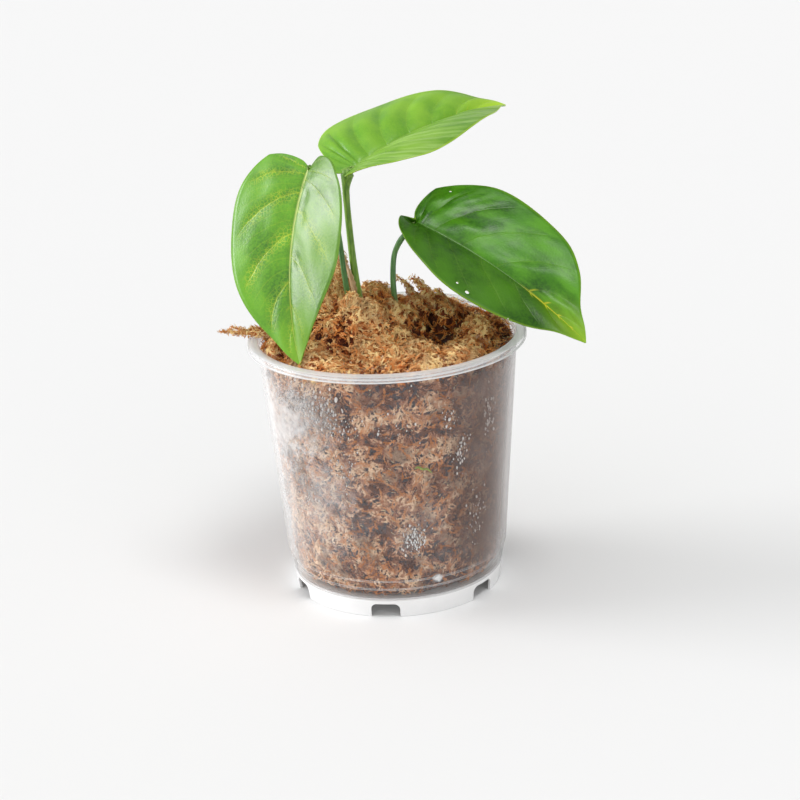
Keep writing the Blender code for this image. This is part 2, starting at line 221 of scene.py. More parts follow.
def drawnOut(place, scale, stretch, detail):
    # noise in upright streaks
    place = addNode("ShaderNodeMapping", {"Vector": place, "Scale": (1, 1, stretch)})
    return noiseNode(place.outputs["Vector"], scale, detail)


def newTree(name, sockets):
    # a Geometry Nodes tree with the inputs it is given and one geometry output
    tree = inHand["tree"] = bpy.data.node_groups.new(name, "GeometryNodeTree")
    for label, kind in sockets.items():
        tree.interface.new_socket(label, in_out="INPUT", socket_type="NodeSocket" + kind)
    tree.interface.new_socket("Geometry", in_out="OUTPUT", socket_type="NodeSocketGeometry")
    return tree.nodes.new("NodeGroupInput").outputs, tree.nodes.new("NodeGroupOutput")


def endTree(end, geometry, material):
    real = addNode("GeometryNodeRealizeInstances", {"Geometry": geometry}).outputs[0]
    done = addNode("GeometryNodeSetMaterial", {"Geometry": real, "Material": material})
    feed(end, {0: done.outputs[0]})
    return inHand["tree"]


# Helpers for meshes

def smoothPath(points, steps):
    keys = np.asarray(points, float)
    keys = np.vstack([2 * keys[0] - keys[1], keys, 2 * keys[-1] - keys[-2]])
    out = []
    for i in range(1, len(keys) - 2):
        a, b, c, d = keys[i - 1:i + 3]
        for j in range(steps):
            t = j / steps
            out.append(0.5 * (2 * b + (c - a) * t + (2 * a - 5 * b + 4 * c - d) * t * t
                              + (3 * b - a - 3 * c + d) * t ** 3))
    out.append(keys[-2])
    return np.array(out)


def makeMesh(name, points, faces, smooth=True):
    mesh = bpy.data.meshes.new(name)
    shifted = (np.asarray(points, float) + np.array([potAxis, 0, 0])) * mm
    mesh.from_pydata(shifted.tolist(), [], faces)
    mesh.update()
    mesh.polygons.foreach_set("use_smooth", [smooth] * len(faces))
    return mesh


def store(mesh, name, values):
    mesh.attributes.new(name, "FLOAT", "POINT").data.foreach_set("value", values)


def gridFaces(rows, columns, closed=False, start=0, flip=False):
    # a closed grid joins its last column to its first
    faces = []
    for i in range(rows - 1):
        for j in range(columns if closed else columns - 1):
            a, b = (start + i * columns + k for k in (j, (j + 1) % columns))
            c, d = a + columns, b + columns
            faces.append((a, b, d, c) if flip else (a, c, d, b))
    return faces


def rework(mesh, change, out=None):
    work = bmesh.new()
    work.from_mesh(mesh)
    change(work)
    work.to_mesh(out or mesh)
    work.free()
    return out or mesh


def outward(item):
    rework(item.data, lambda work: bmesh.ops.recalc_face_normals(work, faces=work.faces))


def settle(item):
    # modifiers become plain mesh
    bpy.context.view_layer.update()
    shape = item.evaluated_get(bpy.context.evaluated_depsgraph_get())
    mesh = bpy.data.meshes.new_from_object(shape)
    item.modifiers.clear()
    item.data = mesh
    return item


def thicken(item, thickness, offset):
    solid = item.modifiers.new("thick", "SOLIDIFY")
    solid.thickness = thickness * mm
    solid.offset = offset
    return solid


def finishPiece(item, materials, slot, *nodes):
    kinds = np.zeros(len(item.data.polygons), dtype=np.int32)
    item.data.polygons.foreach_get("material_index", kinds)
    item.data.materials.clear()
    for material in materials:
        item.data.materials.append(material)
    item.data.polygons.foreach_set("material_index", np.minimum(kinds, len(materials) - 1))
    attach(item, "root")
    if nodes:
        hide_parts(*nodes)
    item.data.calc_loop_triangles()
    print(item.name, len(item.data.loop_triangles), "triangles")


def runTree(item, tree, values):
    # gives the tree its inputs by socket identifier, then keeps the resulting mesh
    mod = item.modifiers.new("pieces", "NODES")
    mod.node_group = tree
    named = {s.name: s.identifier for s in tree.interface.items_tree if s.in_out == "INPUT"}
    for label, value in values.items():
        mod[named[label]] = value
    return settle(item)


def tubeData(points, radii, sides, start=0):
    # rings carried along the path without twisting, closed at both ends
    points = np.asarray(points, float)
    ahead = np.gradient(points, axis=0)
    ahead /= np.linalg.norm(ahead, axis=1)[:, None]
    side = np.cross(ahead[0], [0.3, 0.9, 0.2])
    rings = []
    for place, front, radius in zip(points, ahead, radii):
        side = side - front * side.dot(front)
        side /= np.linalg.norm(side)
        turn = np.linspace(0, math.tau, sides, endpoint=False)[:, None]
        rings.append(place + radius * (np.cos(turn) * side + np.sin(turn) * np.cross(front, side)))
    out = np.vstack([points[:1]] + rings + [points[-1:]])
    faces = gridFaces(len(points), sides, True, start + 1, True)
    end = start + len(out) - 1
    last = end - sides
    for j in range(sides):
        k = (j + 1) % sides
        faces += [(start, start + 1 + k, start + 1 + j), (end, last + j, last + k)]
    return out, faces


def joinTubes(name, tubes):
    points, faces = [], []
    for path, radii, sides in tubes:
        some, more = tubeData(path, radii, sides, sum(len(p) for p in points))
        points.append(some)
        faces += more
    return makeObject(name, makeMesh(name, np.vstack(points), faces))


def cutAway(item, cutters):
    # takes closed cutter meshes out of a piece, then drops them
    group = bpy.data.collections.new("cutters")
    scene.collection.children.link(group)
    for mesh in cutters:
        cutter = bpy.data.objects.new("cutter", mesh)
        outward(cutter)
        group.objects.link(cutter)
    cut = item.modifiers.new("holes", "BOOLEAN")
    cut.operation = "DIFFERENCE"
    cut.operand_type = "COLLECTION"
    cut.collection = group
    cut.solver = "MANIFOLD"
    settle(item)
    for cutter in list(group.objects):
        bpy.data.objects.remove(cutter, do_unlink=True)
    bpy.data.collections.remove(group)


# Leaves

leafValues = {
    "leaf_left": {
        "base": (-28.5, -13.4, 190.1), "length": 82.7, "wide": (29.7, 30.0),
        "heading": -146.4, "pitch": -62.5, "roll": -11.3, "arch": 19.7,
        "sweep": 28.7, "twist": -16.3, "fold": 12.6, "droop": 0.05,
        "lobes": (1.11, 0.4), "veinEvery": 3.4, "veinBend": 0.40,
        "quilt": (0.35, 0.85), "wrinkle": (0.0, 0.03), "puckers": (9, 6), "dent": (0.35, 0.5),
        "ladder": (0.10, 0.06), "ear": 0.0, "sink": 0.6, "holes": [],
        "blisters": [  # half, row, distance from the midrib, height and spread
            (1, 5.0, 3.0, -0.45, 1.6), (1, 8.6, 3.6, -0.55, 1.7), (1, 10.4, 4.6, -0.5, 1.6),
            (1, 13.4, 4.6, -0.5, 1.6), (1, 11.8, 11.0, 0.5, 4.0)],
        "outline": [(0.17, -0.066), (0.50, -0.054), (0.83, 0.059), (1.0, 0.216),
                    (0.97, 0.404), (0.82, 0.581), (0.576, 0.736), (0.30, 0.858),
                    (0.12, 0.945), (0.0, 1.0)]},
    "leaf_top": {
        "base": (-10.9, 0.8, 185.5), "length": 91.9, "wide": (35.6, 29.3),
        "heading": 41.2, "pitch": 19.5, "roll": -0.2, "arch": 24.8,
        "sweep": -1.5, "twist": 10.0, "fold": 22.3, "droop": 0.30,
        "lobes": (1.08, 1.19), "veinEvery": 2.1, "veinBend": 0.5,
        "quilt": (1.7, 0.6), "wrinkle": (0.06, 0.08), "puckers": (12, 7), "dent": (0.5, 0.5),
        "ladder": (0.0, 0.05), "ear": 0.0, "sink": 0.5, "blisters": [], "holes": [],
        "outline": [(0.11, -0.062), (0.45, -0.01), (0.82, 0.069), (1.01, 0.192),
                    (0.97, 0.385), (0.82, 0.578), (0.584, 0.746), (0.31, 0.868),
                    (0.12, 0.945), (0.0, 1.0)]},
    "leaf_right": {
        "base": (14.6, -2.9, 162.3), "length": 89.1, "wide": (33.8, 28.8),
        "heading": -17.7, "pitch": -24.1, "roll": 17.6, "arch": 10.1,
        "sweep": -19.9, "twist": 26.5, "fold": 16.6, "droop": 0.08,
        "lobes": (0.35, 1.06), "veinEvery": 2.7, "veinBend": 0.5,
        "quilt": (0.5, 0.4), "wrinkle": (0.11, 0.0), "puckers": (6.5, 2.8), "dent": (1.2, 0.9),
        "ladder": (0.0, 0.0), "ear": 2.5, "sink": 1.8,
        "blisters": [(1, 14.7, 9.0, 1.7, 3.4), (1, 12.0, 23.0, 1.0, 5.0), (1, 9.6, 6.0, 0.8, 4.0)],
        "holes": [  # half, share across, share along, radius
            (1, 0.82, 0.295, 0.65), (-1, 0.84, 0.49, 0.7), (-1, 0.89, 0.52, 1.0),
            (-1, 0.985, 0.645, 0.6)],
        "outline": [(0.13, -0.062), (0.484, -0.032), (0.83, 0.079), (1.01, 0.236),
                    (0.985, 0.43), (0.84, 0.611), (0.585, 0.753), (0.293, 0.855),
                    (0.12, 0.945), (0.0, 1.0)]},
}
bladeValues = {
    # share of the midrib at which the row to each outline key begins
    "veinStarts": (0.0, 0.012, 0.03, 0.075, 0.19, 0.35, 0.52, 0.70, 0.85, 1.0),
    "rows": 22, "finer": 16, "columns": 24, "marginWave": 0.7, "weld": 0.002,
    "thick": 0.42, "keel": 1.15, "keelWide": 0.75, "groove": 0.4, "grooveWide": 0.9}


def leafFrame(leaf):
    turn, tilt, roll = (math.radians(leaf[k]) for k in ("heading", "pitch", "roll"))
    along = np.array(polar(math.cos(tilt), turn, math.sin(tilt)))
    side = np.array([-math.sin(turn), math.cos(turn), 0.0])
    side, up = turnPair(side, np.cross(along, side), roll)
    return np.array(leaf["base"]), along, side, up


def leafPoints(leaf, hand, across, share, lift):
    # across in half widths and share along the midrib, both as arrays
    base, along, side, up = leafFrame(leaf)
    arch, sweep, fold, twist = (math.radians(leaf[k]) for k in ("arch", "sweep", "fold", "twist"))

    def heading(k):
        return ((np.cos(arch * k) * np.cos(sweep * k))[..., None] * along
                + np.sin(sweep * k)[..., None] * side
                - (np.sin(arch * k) * np.cos(sweep * k))[..., None] * up)

    steps = (np.arange(24) + 0.5) / 24
    walk = heading(share[:, None] * steps[None]).mean(1) * (share * leaf["length"])[:, None]
    front = heading(share)
    over = np.sin(arch * share)[:, None] * along + np.cos(arch * share)[:, None] * up
    sideways = np.cross(over, front)
    sideways /= np.linalg.norm(sideways, axis=1)[:, None]
    sideways, over = turnPair(sideways, np.cross(front, sideways),
                              (twist * np.clip(share, 0, 1))[:, None])
    wide = leaf["wide"][0 if hand > 0 else 1]
    out = across * wide
    raised = out * math.sin(fold) - leaf["droop"] * out * out / wide + lift
    return base + walk + sideways * (hand * out * math.cos(fold))[:, None] + over * raised[:, None]


def veinPhase(leaf, row, shares, hand):
    # whole numbers are side veins: they bend to the tip and alternate between the halves
    offset = 0.0 if hand > 0 else 0.45
    return row / leaf["veinEvery"] - leaf["veinBend"] * shares ** 2 + offset


def bladeRelief(leaf, row, shares, hand, wide, values):
    # the blade swells between the side veins, puckers by the margin, and dents here and there
    quilt, wrinkle, dent, ladder = (
        leaf[k][0 if hand > 0 else 1] for k in ("quilt", "wrinkle", "dent", "ladder"))
    phase = veinPhase(leaf, row, shares, hand)
    inside = np.sin(math.pi * np.minimum(1, shares * 1.08)) ** 0.7
    swell = quilt * np.abs(np.sin(math.pi * phase)) ** 0.8 * inside
    pucker = np.sin(math.tau * (3.1 * phase + 0.4 * np.sin(7 * shares)))
    pucker = wrinkle * pucker * np.exp(-((shares - 0.72) / 0.17) ** 2)
    middle, reach = leaf["puckers"]
    pucker = pucker * math.exp(-((row - middle) / reach) ** 2)
    across = hand * (shares * wide / 7 + 3)
    dents = np.array([noise.noise(Vector((row * 0.42, place, 1.7))) for place in across])
    dents = dents * dent * np.minimum(1, shares * 4) * (1 - 0.8 * shares ** 4)
    rungs = np.array([noise.noise(Vector((row * 1.15, place * 0.5, 9.2))) for place in across])
    rungs = ladder * rungs * np.exp(-((shares - 0.2) / 0.2) ** 2) * 2
    for half, level, off, height, spread in leaf["blisters"]:
        if half == hand:
            far = ((row - level) * leaf["length"] / values["rows"]) ** 2 + (shares * wide - off) ** 2
            dents = dents + height * np.exp(-far / (2 * spread ** 2))
    wave = values["marginWave"] * np.sin(row * 0.9 + (1.1 if hand > 0 else 2.6)) * shares ** 3
    ends = max(0.0, min(1.0, row / 7, (values["rows"] - row) / 4)) ** 1.5
    groove = values["groove"] * np.exp(-(shares * wide / values["grooveWide"]) ** 2)
    # the lobes beside the stalk curl up and the midrib starts low between them
    early = max(0.0, 1 - max(row, 0) / 5) ** 2
    curl = leaf["ear"] * early * shares ** 1.5
    sink = leaf["sink"] * early * np.exp(-(shares * wide / 5) ** 2)
    return (swell + pucker + dents + rungs + wave - groove) * ends + curl - sink


def bladeRow(leaf, values, along, shares, hand):
    # the points of one row of a half blade, from the midrib out to the margin
    keys = [(0.0, 0.0, 0.0)] + [(a, b, c) for (a, b), c in zip(leaf["outline"], values["veinStarts"])]
    line = smoothPath(keys, values["finer"])
    spot = along * (len(line) - 1)
    low = min(int(spot), len(line) - 2)
    wide, reach, start = line[low] + (line[low + 1] - line[low]) * (spot - low)
    row = (spot / values["finer"] - 1) * values["rows"] / (len(keys) - 2)
    half = 0 if hand > 0 else 1
    reach = reach * leaf["lobes"][half] if reach < 0 else reach
    there = start + (reach - start) * shares ** 1.25
    width = wide * leaf["wide"][half]
    lift = bladeRelief(leaf, row, shares, hand, width, values)
    return leafPoints(leaf, hand, wide * shares, there, lift), row, width


def mapBlade(mesh, count, columns, coordinates, phases):
    # one map along and across the blade, one that counts the side veins of each half
    plain = mesh.uv_layers.new(name="leafMap")
    veins = mesh.uv_layers.new(name="veinMap")
    tip = len(coordinates) - 1
    for face in mesh.polygons:
        first = min(v % count for v in face.vertices if v != tip)
        hand = 0 if first < columns else 1
        for corner in face.loop_indices:
            vertex = mesh.loops[corner].vertex_index
            plain.data[corner].uv = coordinates[vertex]
            veins.data[corner].uv = (coordinates[vertex][0], phases[hand][vertex])


def makeBlade(name, leaf, values):
    columns = values["columns"]
    count = 2 * columns + 1
    rows = len(leaf["outline"]) * values["finer"]
    shares = (np.arange(columns + 1) / columns) ** 1.35
    signed = np.concatenate([-shares[::-1][:-1], shares])
    points, coordinates, swell, phases = [], [], [], ([], [])
    for i in range(rows):
        along = i / rows
        halves = [bladeRow(leaf, values, along, shares, hand) for hand in (-1, 1)]
        points += [halves[0][0][::-1][:-1], halves[1][0]]
        row, width = halves[1][1:]
        coordinates += [(0.5 + 0.5 * s, along) for s in signed]
        for side, hand in zip(phases, (-1, 1)):
            side.extend(veinPhase(leaf, row, np.abs(signed), hand))
        rib = np.exp(-(signed * width / values["keelWide"]) ** 2) * min(1.0, (i + 2) / 8)
        swell += list(values["thick"] + values["keel"] * (1 - 0.75 * along) * rib)
    points.append(leafPoints(leaf, 1, np.zeros(1), np.ones(1), np.zeros(1)))
    coordinates.append((0.5, 1.0))
    swell.append(values["thick"])
    for side in phases:
        side.append(side[-1])
    base, tip = (rows - 1) * count, rows * count
    faces = gridFaces(rows, count) + [(base + j, tip, base + j + 1) for j in range(count - 1)]
    item = makeObject(name + "_blade", makeMesh(name, np.vstack(points), faces))
    mapBlade(item.data, count, columns, coordinates, phases)
    thickest = max(swell)
    group = item.vertex_groups.new(name="keel")
    for index, value in enumerate(swell):
        group.add([index], value / thickest, "REPLACE")
    rework(item.data, lambda work: bmesh.ops.remove_doubles(
        work, verts=work.verts, dist=values["weld"] * mm))
    solid = thicken(item, thickest, -1.0)
    solid.vertex_group = "keel"
    solid.material_offset = 1
    for side in ("upper", "under"):
        item.data.materials.append(None)
    return settle(item)


def pierce(item, leaf, values):
    # small holes right through the blade
    cutters = []
    for hand, share, along, radius in leaf["holes"]:
        place = toWorld(bladeRow(leaf, values, along, np.array([0.0, share]), hand)[0][1])
        mesh = bpy.data.meshes.new("piercing")
        cutters.append(rework(mesh, lambda work: bmesh.ops.create_icosphere(
            work, subdivisions=3, radius=radius * mm, matrix=Matrix.Translation(place))))
    cutAway(item, cutters)


leafPalettes = {
    "leaf_left": {
        "deep": (0.036, 0.145, 0.001), "light": (0.133, 0.350, 0.002),
        "tints": ((0.96, 1.08, 0.5), (0.88, 0.84, 1.0)),
        "vein": (0.46, 0.56, 0.02), "sideShare": 0.40, "netShare": 0.75, "midShare": 0.85,
        "halves": (1.0, 0.55), "rib": (0.50, 0.60, 0.16), "tip": (0.20, 0.42, 0.004),
        "tipVein": 0.2, "rough": 0.33, "gloss": 0.64, "bloom": (0.0, 0.12),
        "streak": (1.6, 3.0), "pale": (0.40, 0.60, 0.30), "tipShare": 0.65, "grain": 0.45},
    "leaf_top": {
        "deep": (0.110, 0.325, 0.008), "light": (0.240, 0.495, 0.020),
        "tints": ((0.85, 0.86, 1.0), (1.02, 1.04, 1.0)),
        "vein": (0.38, 0.60, 0.06), "sideShare": 0.10, "netShare": 0.10, "midShare": 0.4,
        "halves": (1.0, 1.0), "rib": (0.36, 0.58, 0.08), "tip": (0.58, 0.86, 0.04),
        "tipVein": 0.2, "rough": 0.34, "gloss": 0.6, "bloom": (0.50, 0.0),
        "streak": (3.4, 1.3), "pale": (0.44, 0.66, 0.20), "tipShare": 0.8, "grain": 0.22},
    "leaf_right": {
        "deep": (0.013, 0.076, 0.001), "light": (0.066, 0.245, 0.002),
        "tints": ((0.92, 0.84, 1.0), (0.90, 1.0, 0.8)),
        "vein": (0.22, 0.40, 0.03), "sideShare": 0.10, "netShare": 0.14, "midShare": 0.5,
        "halves": (1.0, 1.0), "rib": (0.12, 0.27, 0.05), "tip": (0.31, 0.53, 0.02),
        "tipVein": 1.0, "rough": 0.34, "gloss": 0.34, "bloom": (0.0, 0.50),
        "streak": (1.3, 3.0), "pale": (0.15, 0.45, 0.02), "tipShare": 0.8, "grain": 0.34},
}
leafColours = {"yellow": (0.60, 0.60, 0.03), "speck": (0.52, 0.38, 0.16),
               "under": (0.36, 0.52, 0.20), "underVein": (0.42, 0.56, 0.20)}


def leafMaterial(name, values):
    material = newMaterial(name + "_upper")
    place = objectPlace()
    plain, veins = mapParts("leafMap"), mapParts("veinMap")
    along = plain["Y"]
    across = mathNode("ABSOLUTE", mulAdd(plain["X"], 2.0, -1.0))
    patch = noiseNode(place, 45.0, 3.0)
    fine = noiseNode(place, 900.0, 3.0)
    # distance to the nearest side vein, a little unsteady
    sway = multiply(subtract(noiseNode(place, 120.0, 1.0), 0.5), 0.12)
    phase = add(veins["Y"], sway)
    away = pingPong(phase)
    fade = smoothStep(across, 0.7, 0.97, 1.0, 0.0)
    fade = multiply(fade, smoothStep(plain["X"], 0.49, 0.51, *values["halves"]))
    sideVein = multiply(smoothStep(away, 0.004, 0.035, 1.0, 0.0), fade)
    branch = pingPong(mulAdd(phase, 4.0, multiply(across, 2.0)))
    branchVein = multiply(smoothStep(branch, 0.0, 0.07, 1.0, 0.0), fade)
    midVein = smoothStep(across, 0.008, 0.026, 1.0, 0.0)
    cells = addNode("ShaderNodeTexVoronoi", {"Vector": place, "Scale": 640.0},
                    feature="DISTANCE_TO_EDGE").outputs["Distance"]
    net = smoothStep(cells, 0.0, 0.12, 1.0, 0.0)
    # the net shows most beside the side veins
    band = smoothStep(away, 0.05, 0.30, 1.0, 0.15)
    band = multiply(band, smoothStep(patch, 0.35, 0.6, 0.3, 1.0))
    band = multiply(band, fade)
    body = mixColour(smoothStep(patch, 0.32, 0.70), values["deep"], values["light"])
    body = mixColour(smoothStep(away, 0.05, 0.5, 0.0, 0.30), body, values["light"])
    body = mixColour(smoothStep(fine, 0.40, 0.60, 0.0, values["grain"]), body, values["light"])
    # painted sheen: paler streaks run with the side veins on one half
    lay = combine(X=multiply(phase, values["streak"][0]), Y=multiply(across, values["streak"][1]))
    streak = smoothStep(noiseNode(lay, 1.0, 4.0), 0.38, 0.66)
    bloom = smoothStep(plain["X"], 0.49, 0.51, *values["bloom"])
    # painted light and shade: each half of the blade gets its own tint, as one half is lit more than
    # the other
    half = smoothStep(plain["X"], 0.49, 0.51)
    body = mixColour(1.0, body, mixColour(half, *values["tints"]), "MULTIPLY")
    body = mixColour(multiply(streak, bloom), body, values["pale"])
    body = mixColour(multiply(multiply(net, band), values["netShare"]), body, values["vein"])
    body = mixColour(multiply(branchVein, values["sideShare"] * 0.35), body, values["vein"])
    body = mixColour(multiply(sideVein, values["sideShare"]), body, values["vein"])
    body = mixColour(smoothStep(along, 0.74, 1.0, 0.0, values["tipShare"]), body, values["tip"])
    body = mixColour(multiply(midVein, values["midShare"]), body, values["rib"])
    # towards the tip the midrib and short branches beside it turn yellow
    late = smoothStep(along, 0.72, 0.80, 0.0, 1.0)
    near = smoothStep(across, 0.10, 0.24, 1.0, 0.0)
    twig = pingPong(multiply(phase, 2.0))
    yellow = mathNode("MAXIMUM", smoothStep(across, 0.014, 0.05, 1.0, 0.0),
                      multiply(smoothStep(twig, 0.02, 0.09, 1.0, 0.0), near))
    yellow = multiply(multiply(yellow, late), values["tipVein"])
    body = mixColour(yellow, body, leafColours["yellow"])
    body = mixColour(smoothStep(across, 0.965, 1.0, 0.0, 0.45), body, values["tip"])
    # a few tan specks
    speck = addNode("ShaderNodeTexVoronoi", {"Vector": place, "Scale": 75.0}).outputs
    speckShare = smoothStep(speck["Distance"], 0.035, 0.075, 0.6, 0.0)
    tint = addNode("ShaderNodeSeparateColor", {"Color": speck["Color"]}).outputs["Red"]
    speckShare = multiply(speckShare, mathNode("GREATER_THAN", tint, 0.88))
    body = mixColour(speckShare, body, leafColours["speck"])
    rough = smoothStep(patch, 0.3, 0.7, values["rough"] - 0.05, values["rough"] + 0.07)
    height = multiply(smoothStep(cells, 0.0, 0.3), 0.16)
    for line, rise in ((fine, 0.06), (sideVein, -0.9), (branchVein, -0.15), (midVein, -0.9)):
        height = mulAdd(line, rise, height)
    return dress(material, {
        "Base Color": body, "Roughness": rough, "Specular IOR Level": values["gloss"],
        "Normal": bumpNode(height, 0.3, 0.0003)})


def undersideMaterial(name, values):
    # paler, duller, with the veins standing out
    material = newMaterial(name + "_under")
    place = objectPlace()
    veins = mapParts("veinMap")
    across = mathNode("ABSOLUTE", mulAdd(veins["X"], 2.0, -1.0))
    away = pingPong(veins["Y"])
    sideVein = multiply(smoothStep(away, 0.01, 0.05, 1.0, 0.0),
                        smoothStep(across, 0.6, 0.95, 1.0, 0.0))
    midVein = smoothStep(across, 0.02, 0.06, 1.0, 0.0)
    patch = noiseNode(place, 60.0, 4.0)
    deep, light = (tuple((1 - share) * c + share * g for c, g in zip(values[k], leafColours["under"]))
                   for k, share in (("deep", 0.25), ("light", 0.38)))
    body = mixColour(smoothStep(patch, 0.3, 0.7), deep, light)
    lines = mathNode("MAXIMUM", sideVein, midVein)
    body = mixColour(multiply(lines, 0.55), body, leafColours["underVein"])
    height = mulAdd(lines, 1.0, multiply(patch, 0.3))
    return dress(material, {"Base Color": body, "Roughness": 0.55, "Specular IOR Level": 0.35,
                            "Normal": bumpNode(height, 0.5, 0.0004)})


leafSlots = {"leaf_left": "leaf_mid_green", "leaf_top": "leaf_light_green",
             "leaf_right": "leaf_dark_green"}
for leafName, leafShape in leafValues.items():
    blade = makeBlade(leafName, leafShape, bladeValues)
    if leafShape["holes"]:
        pierce(blade, leafShape, bladeValues)
    looks = [make(leafName, leafPalettes[leafName]) for make in (leafMaterial, undersideMaterial)]
    finishPiece(blade, looks, leafSlots[leafName], leafName)
print("leaves made")


# Stalks, buried stem and roots

stalkValues = {
    "leaf_left": {"path": [(-12.4, 2.4, 108), (-14.5, 1.0, 118), (-15.5, 0, 128.4),
                           (-16.8, -0.5, 142), (-17.8, -1, 155.5), (-19.4, -2.2, 169),
                           (-22.0, -4.6, 181)], "foot": 1.35, "top": 0.95, "flare": 1.5,
                  "shift": 0.0, "back": 0.0, "funnel": 6.5,
                  "deep": (0.035, 0.135, 0.034), "light": (0.12, 0.29, 0.075)},
    "leaf_top": {"path": [(-9.0, 4.2, 110), (-10.3, 4.2, 122), (-11.6, 3.5, 133),
                          (-12.8, 2.8, 147), (-13.5, 2.0, 161), (-13.9, 1.6, 172),
                          (-13.8, 1.2, 177.5)], "foot": 1.75, "top": 1.3, "flare": 3.0,
                 "shift": 1.3, "back": 2.2, "funnel": 8.0,
                 "deep": (0.085, 0.22, 0.024), "light": (0.27, 0.46, 0.065)},
    "leaf_right": {"path": [(-3.5, 3.2, 109), (1.8, 2.6, 114), (4.0, 2.0, 123.5),
                            (3.9, 1.5, 136), (4.8, 1.0, 146.2), (7.0, 0, 152.0),
                            (10.0, -1.6, 156.4)], "foot": 1.4, "top": 1.05, "flare": 1.5,
                   "shift": 0.0, "back": 0.0, "funnel": 6.5,
                   "deep": (0.05, 0.18, 0.055), "light": (0.17, 0.37, 0.12)},
}
stalkShape = {
    "sides": 24, "swell": 0.16, "swellAt": 9, "swellReach": 3.5, "funnelPower": 10.4,
    "brown": (0.24, 0.20, 0.06), "buried": ((0.16, 0.13, 0.05), (0.42, 0.36, 0.18))}
rootValues = {"count": 4, "foot": 1.0, "end": 0.6, "seed": 3, "core": [
    (-17, 2.6, 103), (-11, 3.2, 108), (-4, 3.4, 109), (2, 3.2, 106)], "first": (-14, 3.0, 105.5),
    "apart": 4.4, "thick": 3.3, "lumps": 0.25, "out": 7, "down": 13, "sway": 2}


def stalkMaterial(name, deep, light):
    material = newMaterial(name)
    place = objectPlace()
    grain = drawnOut(place, 900.0, 0.12, 4.0)
    patch = noiseNode(place, 110.0, 2.0)
    green = mixColour(smoothStep(grain, 0.3, 0.7), deep, light)
    green = mixColour(smoothStep(patch, 0.45, 0.75, 0.0, 0.5), green, light)
    low = smoothStep(separate(place)["Z"], 0.120, 0.136, 0.45, 0.0)
    return dress(material, {"Base Color": mixColour(low, green, stalkShape["brown"]),
                            "Roughness": 0.4, "Normal": bumpNode(grain, 0.25, 0.0003)})


def makeStalks(stalks, shape):
    for name, stalk in stalks.items():
        base, along, side, up = leafFrame(leafValues[name])
        end = base - up * (1.0 + leafValues[name]["sink"]) + side * stalk["shift"]
        end = end - along * stalk["back"]
        path = smoothPath(list(stalk["path"]) + [tuple(end)], 10)
        last = path[-1]
        climb = np.linalg.norm(np.diff(path, axis=0), axis=1)
        left = np.concatenate([np.cumsum(climb[::-1])[::-1], [0.0]])  # length still to go
        radii = stalk["foot"] + (stalk["top"] - stalk["foot"]) * (1 - left / left[0])
        # the stalk swells, then opens under the blade
        swell = np.exp(-((left - shape["swellAt"]) / shape["swellReach"]) ** 2)
        radii = radii + shape["swell"] * swell
        radii = radii + (stalk["flare"] - stalk["top"]) * np.clip(
            1 - left / stalk["funnel"], 0, 1) ** (shape["funnelPower"] / stalk["funnel"])
        path = np.vstack([path, last + along * 1.6 + up * 0.3, last + along * 9 + up * 0.8])
        radii = np.concatenate([radii, [stalk["flare"] * 0.62, 0.3]])
        item = joinTubes("stalk_" + name[5:], [(path, radii, shape["sides"])])
        skin = stalkMaterial("stalkSkin_" + name[5:], stalk["deep"], stalk["light"])
        finishPiece(item, [skin], "green_stem", "stem")


def makeRoots(values, colours):
    core = smoothPath(values["core"], 6)
    radii = [values["thick"] + values["lumps"] * math.sin(k * 1.3) for k in range(len(core))]
    tubes = [(core, radii, 16)]
    draw = random.Random(values["seed"])
    for i in range(values["count"]):
        start = np.array(values["first"]) + np.array([values["apart"] * i, 0, 0])
        turn = math.tau * (i + 0.3) / values["count"]
        points = [start]
        for j in range(1, 5):
            out = np.array(polar(1, turn)) * (4 + values["out"] * j)
            sway = [draw.uniform(-values["sway"], values["sway"]) for k in range(2)]
            points.append(start + out + np.array([*sway, 0])
                          - np.array([0, 0, 3 + values["down"] * j]))
        path = smoothPath(points, 5)
        tubes.append((path, np.linspace(values["foot"], values["end"], len(path)), 8))
    skin = stalkMaterial("buriedSkin", *colours)
    finishPiece(joinTubes("buried_stem", tubes), [skin], "green_stem", "stem")


makeStalks(stalkValues, stalkShape)
makeRoots(rootValues, stalkShape["buried"])
print("stalks made")


# Papery sheath at the foot of the tallest stalk

sheathValues = {
    "bottom": 124.0, "top": 145.0, "inner": 2.3, "columns": 16, "rows": 26, "spread": 66,
    "turn": 200, "thick": 0.22, "foot": (-10.6, 4.0), "lean": (-2.0, -1.0), "opening": 1.3,
    "ripple": 0.12, "colours": [(0.25, (0.30, 0.16, 0.07)), (0.5, (0.60, 0.40, 0.22)),
                                (0.75, (0.84, 0.66, 0.44))]}


def sheathMaterial(colours):
    material = newMaterial("drySheath")
    grain = drawnOut(objectPlace(), 1500.0, 0.1, 5.0)
    return dress(material, {"Base Color": rampNode(grain, colours), "Roughness": 0.75,
                            "Normal": bumpNode(grain, 0.6, 0.0004)})


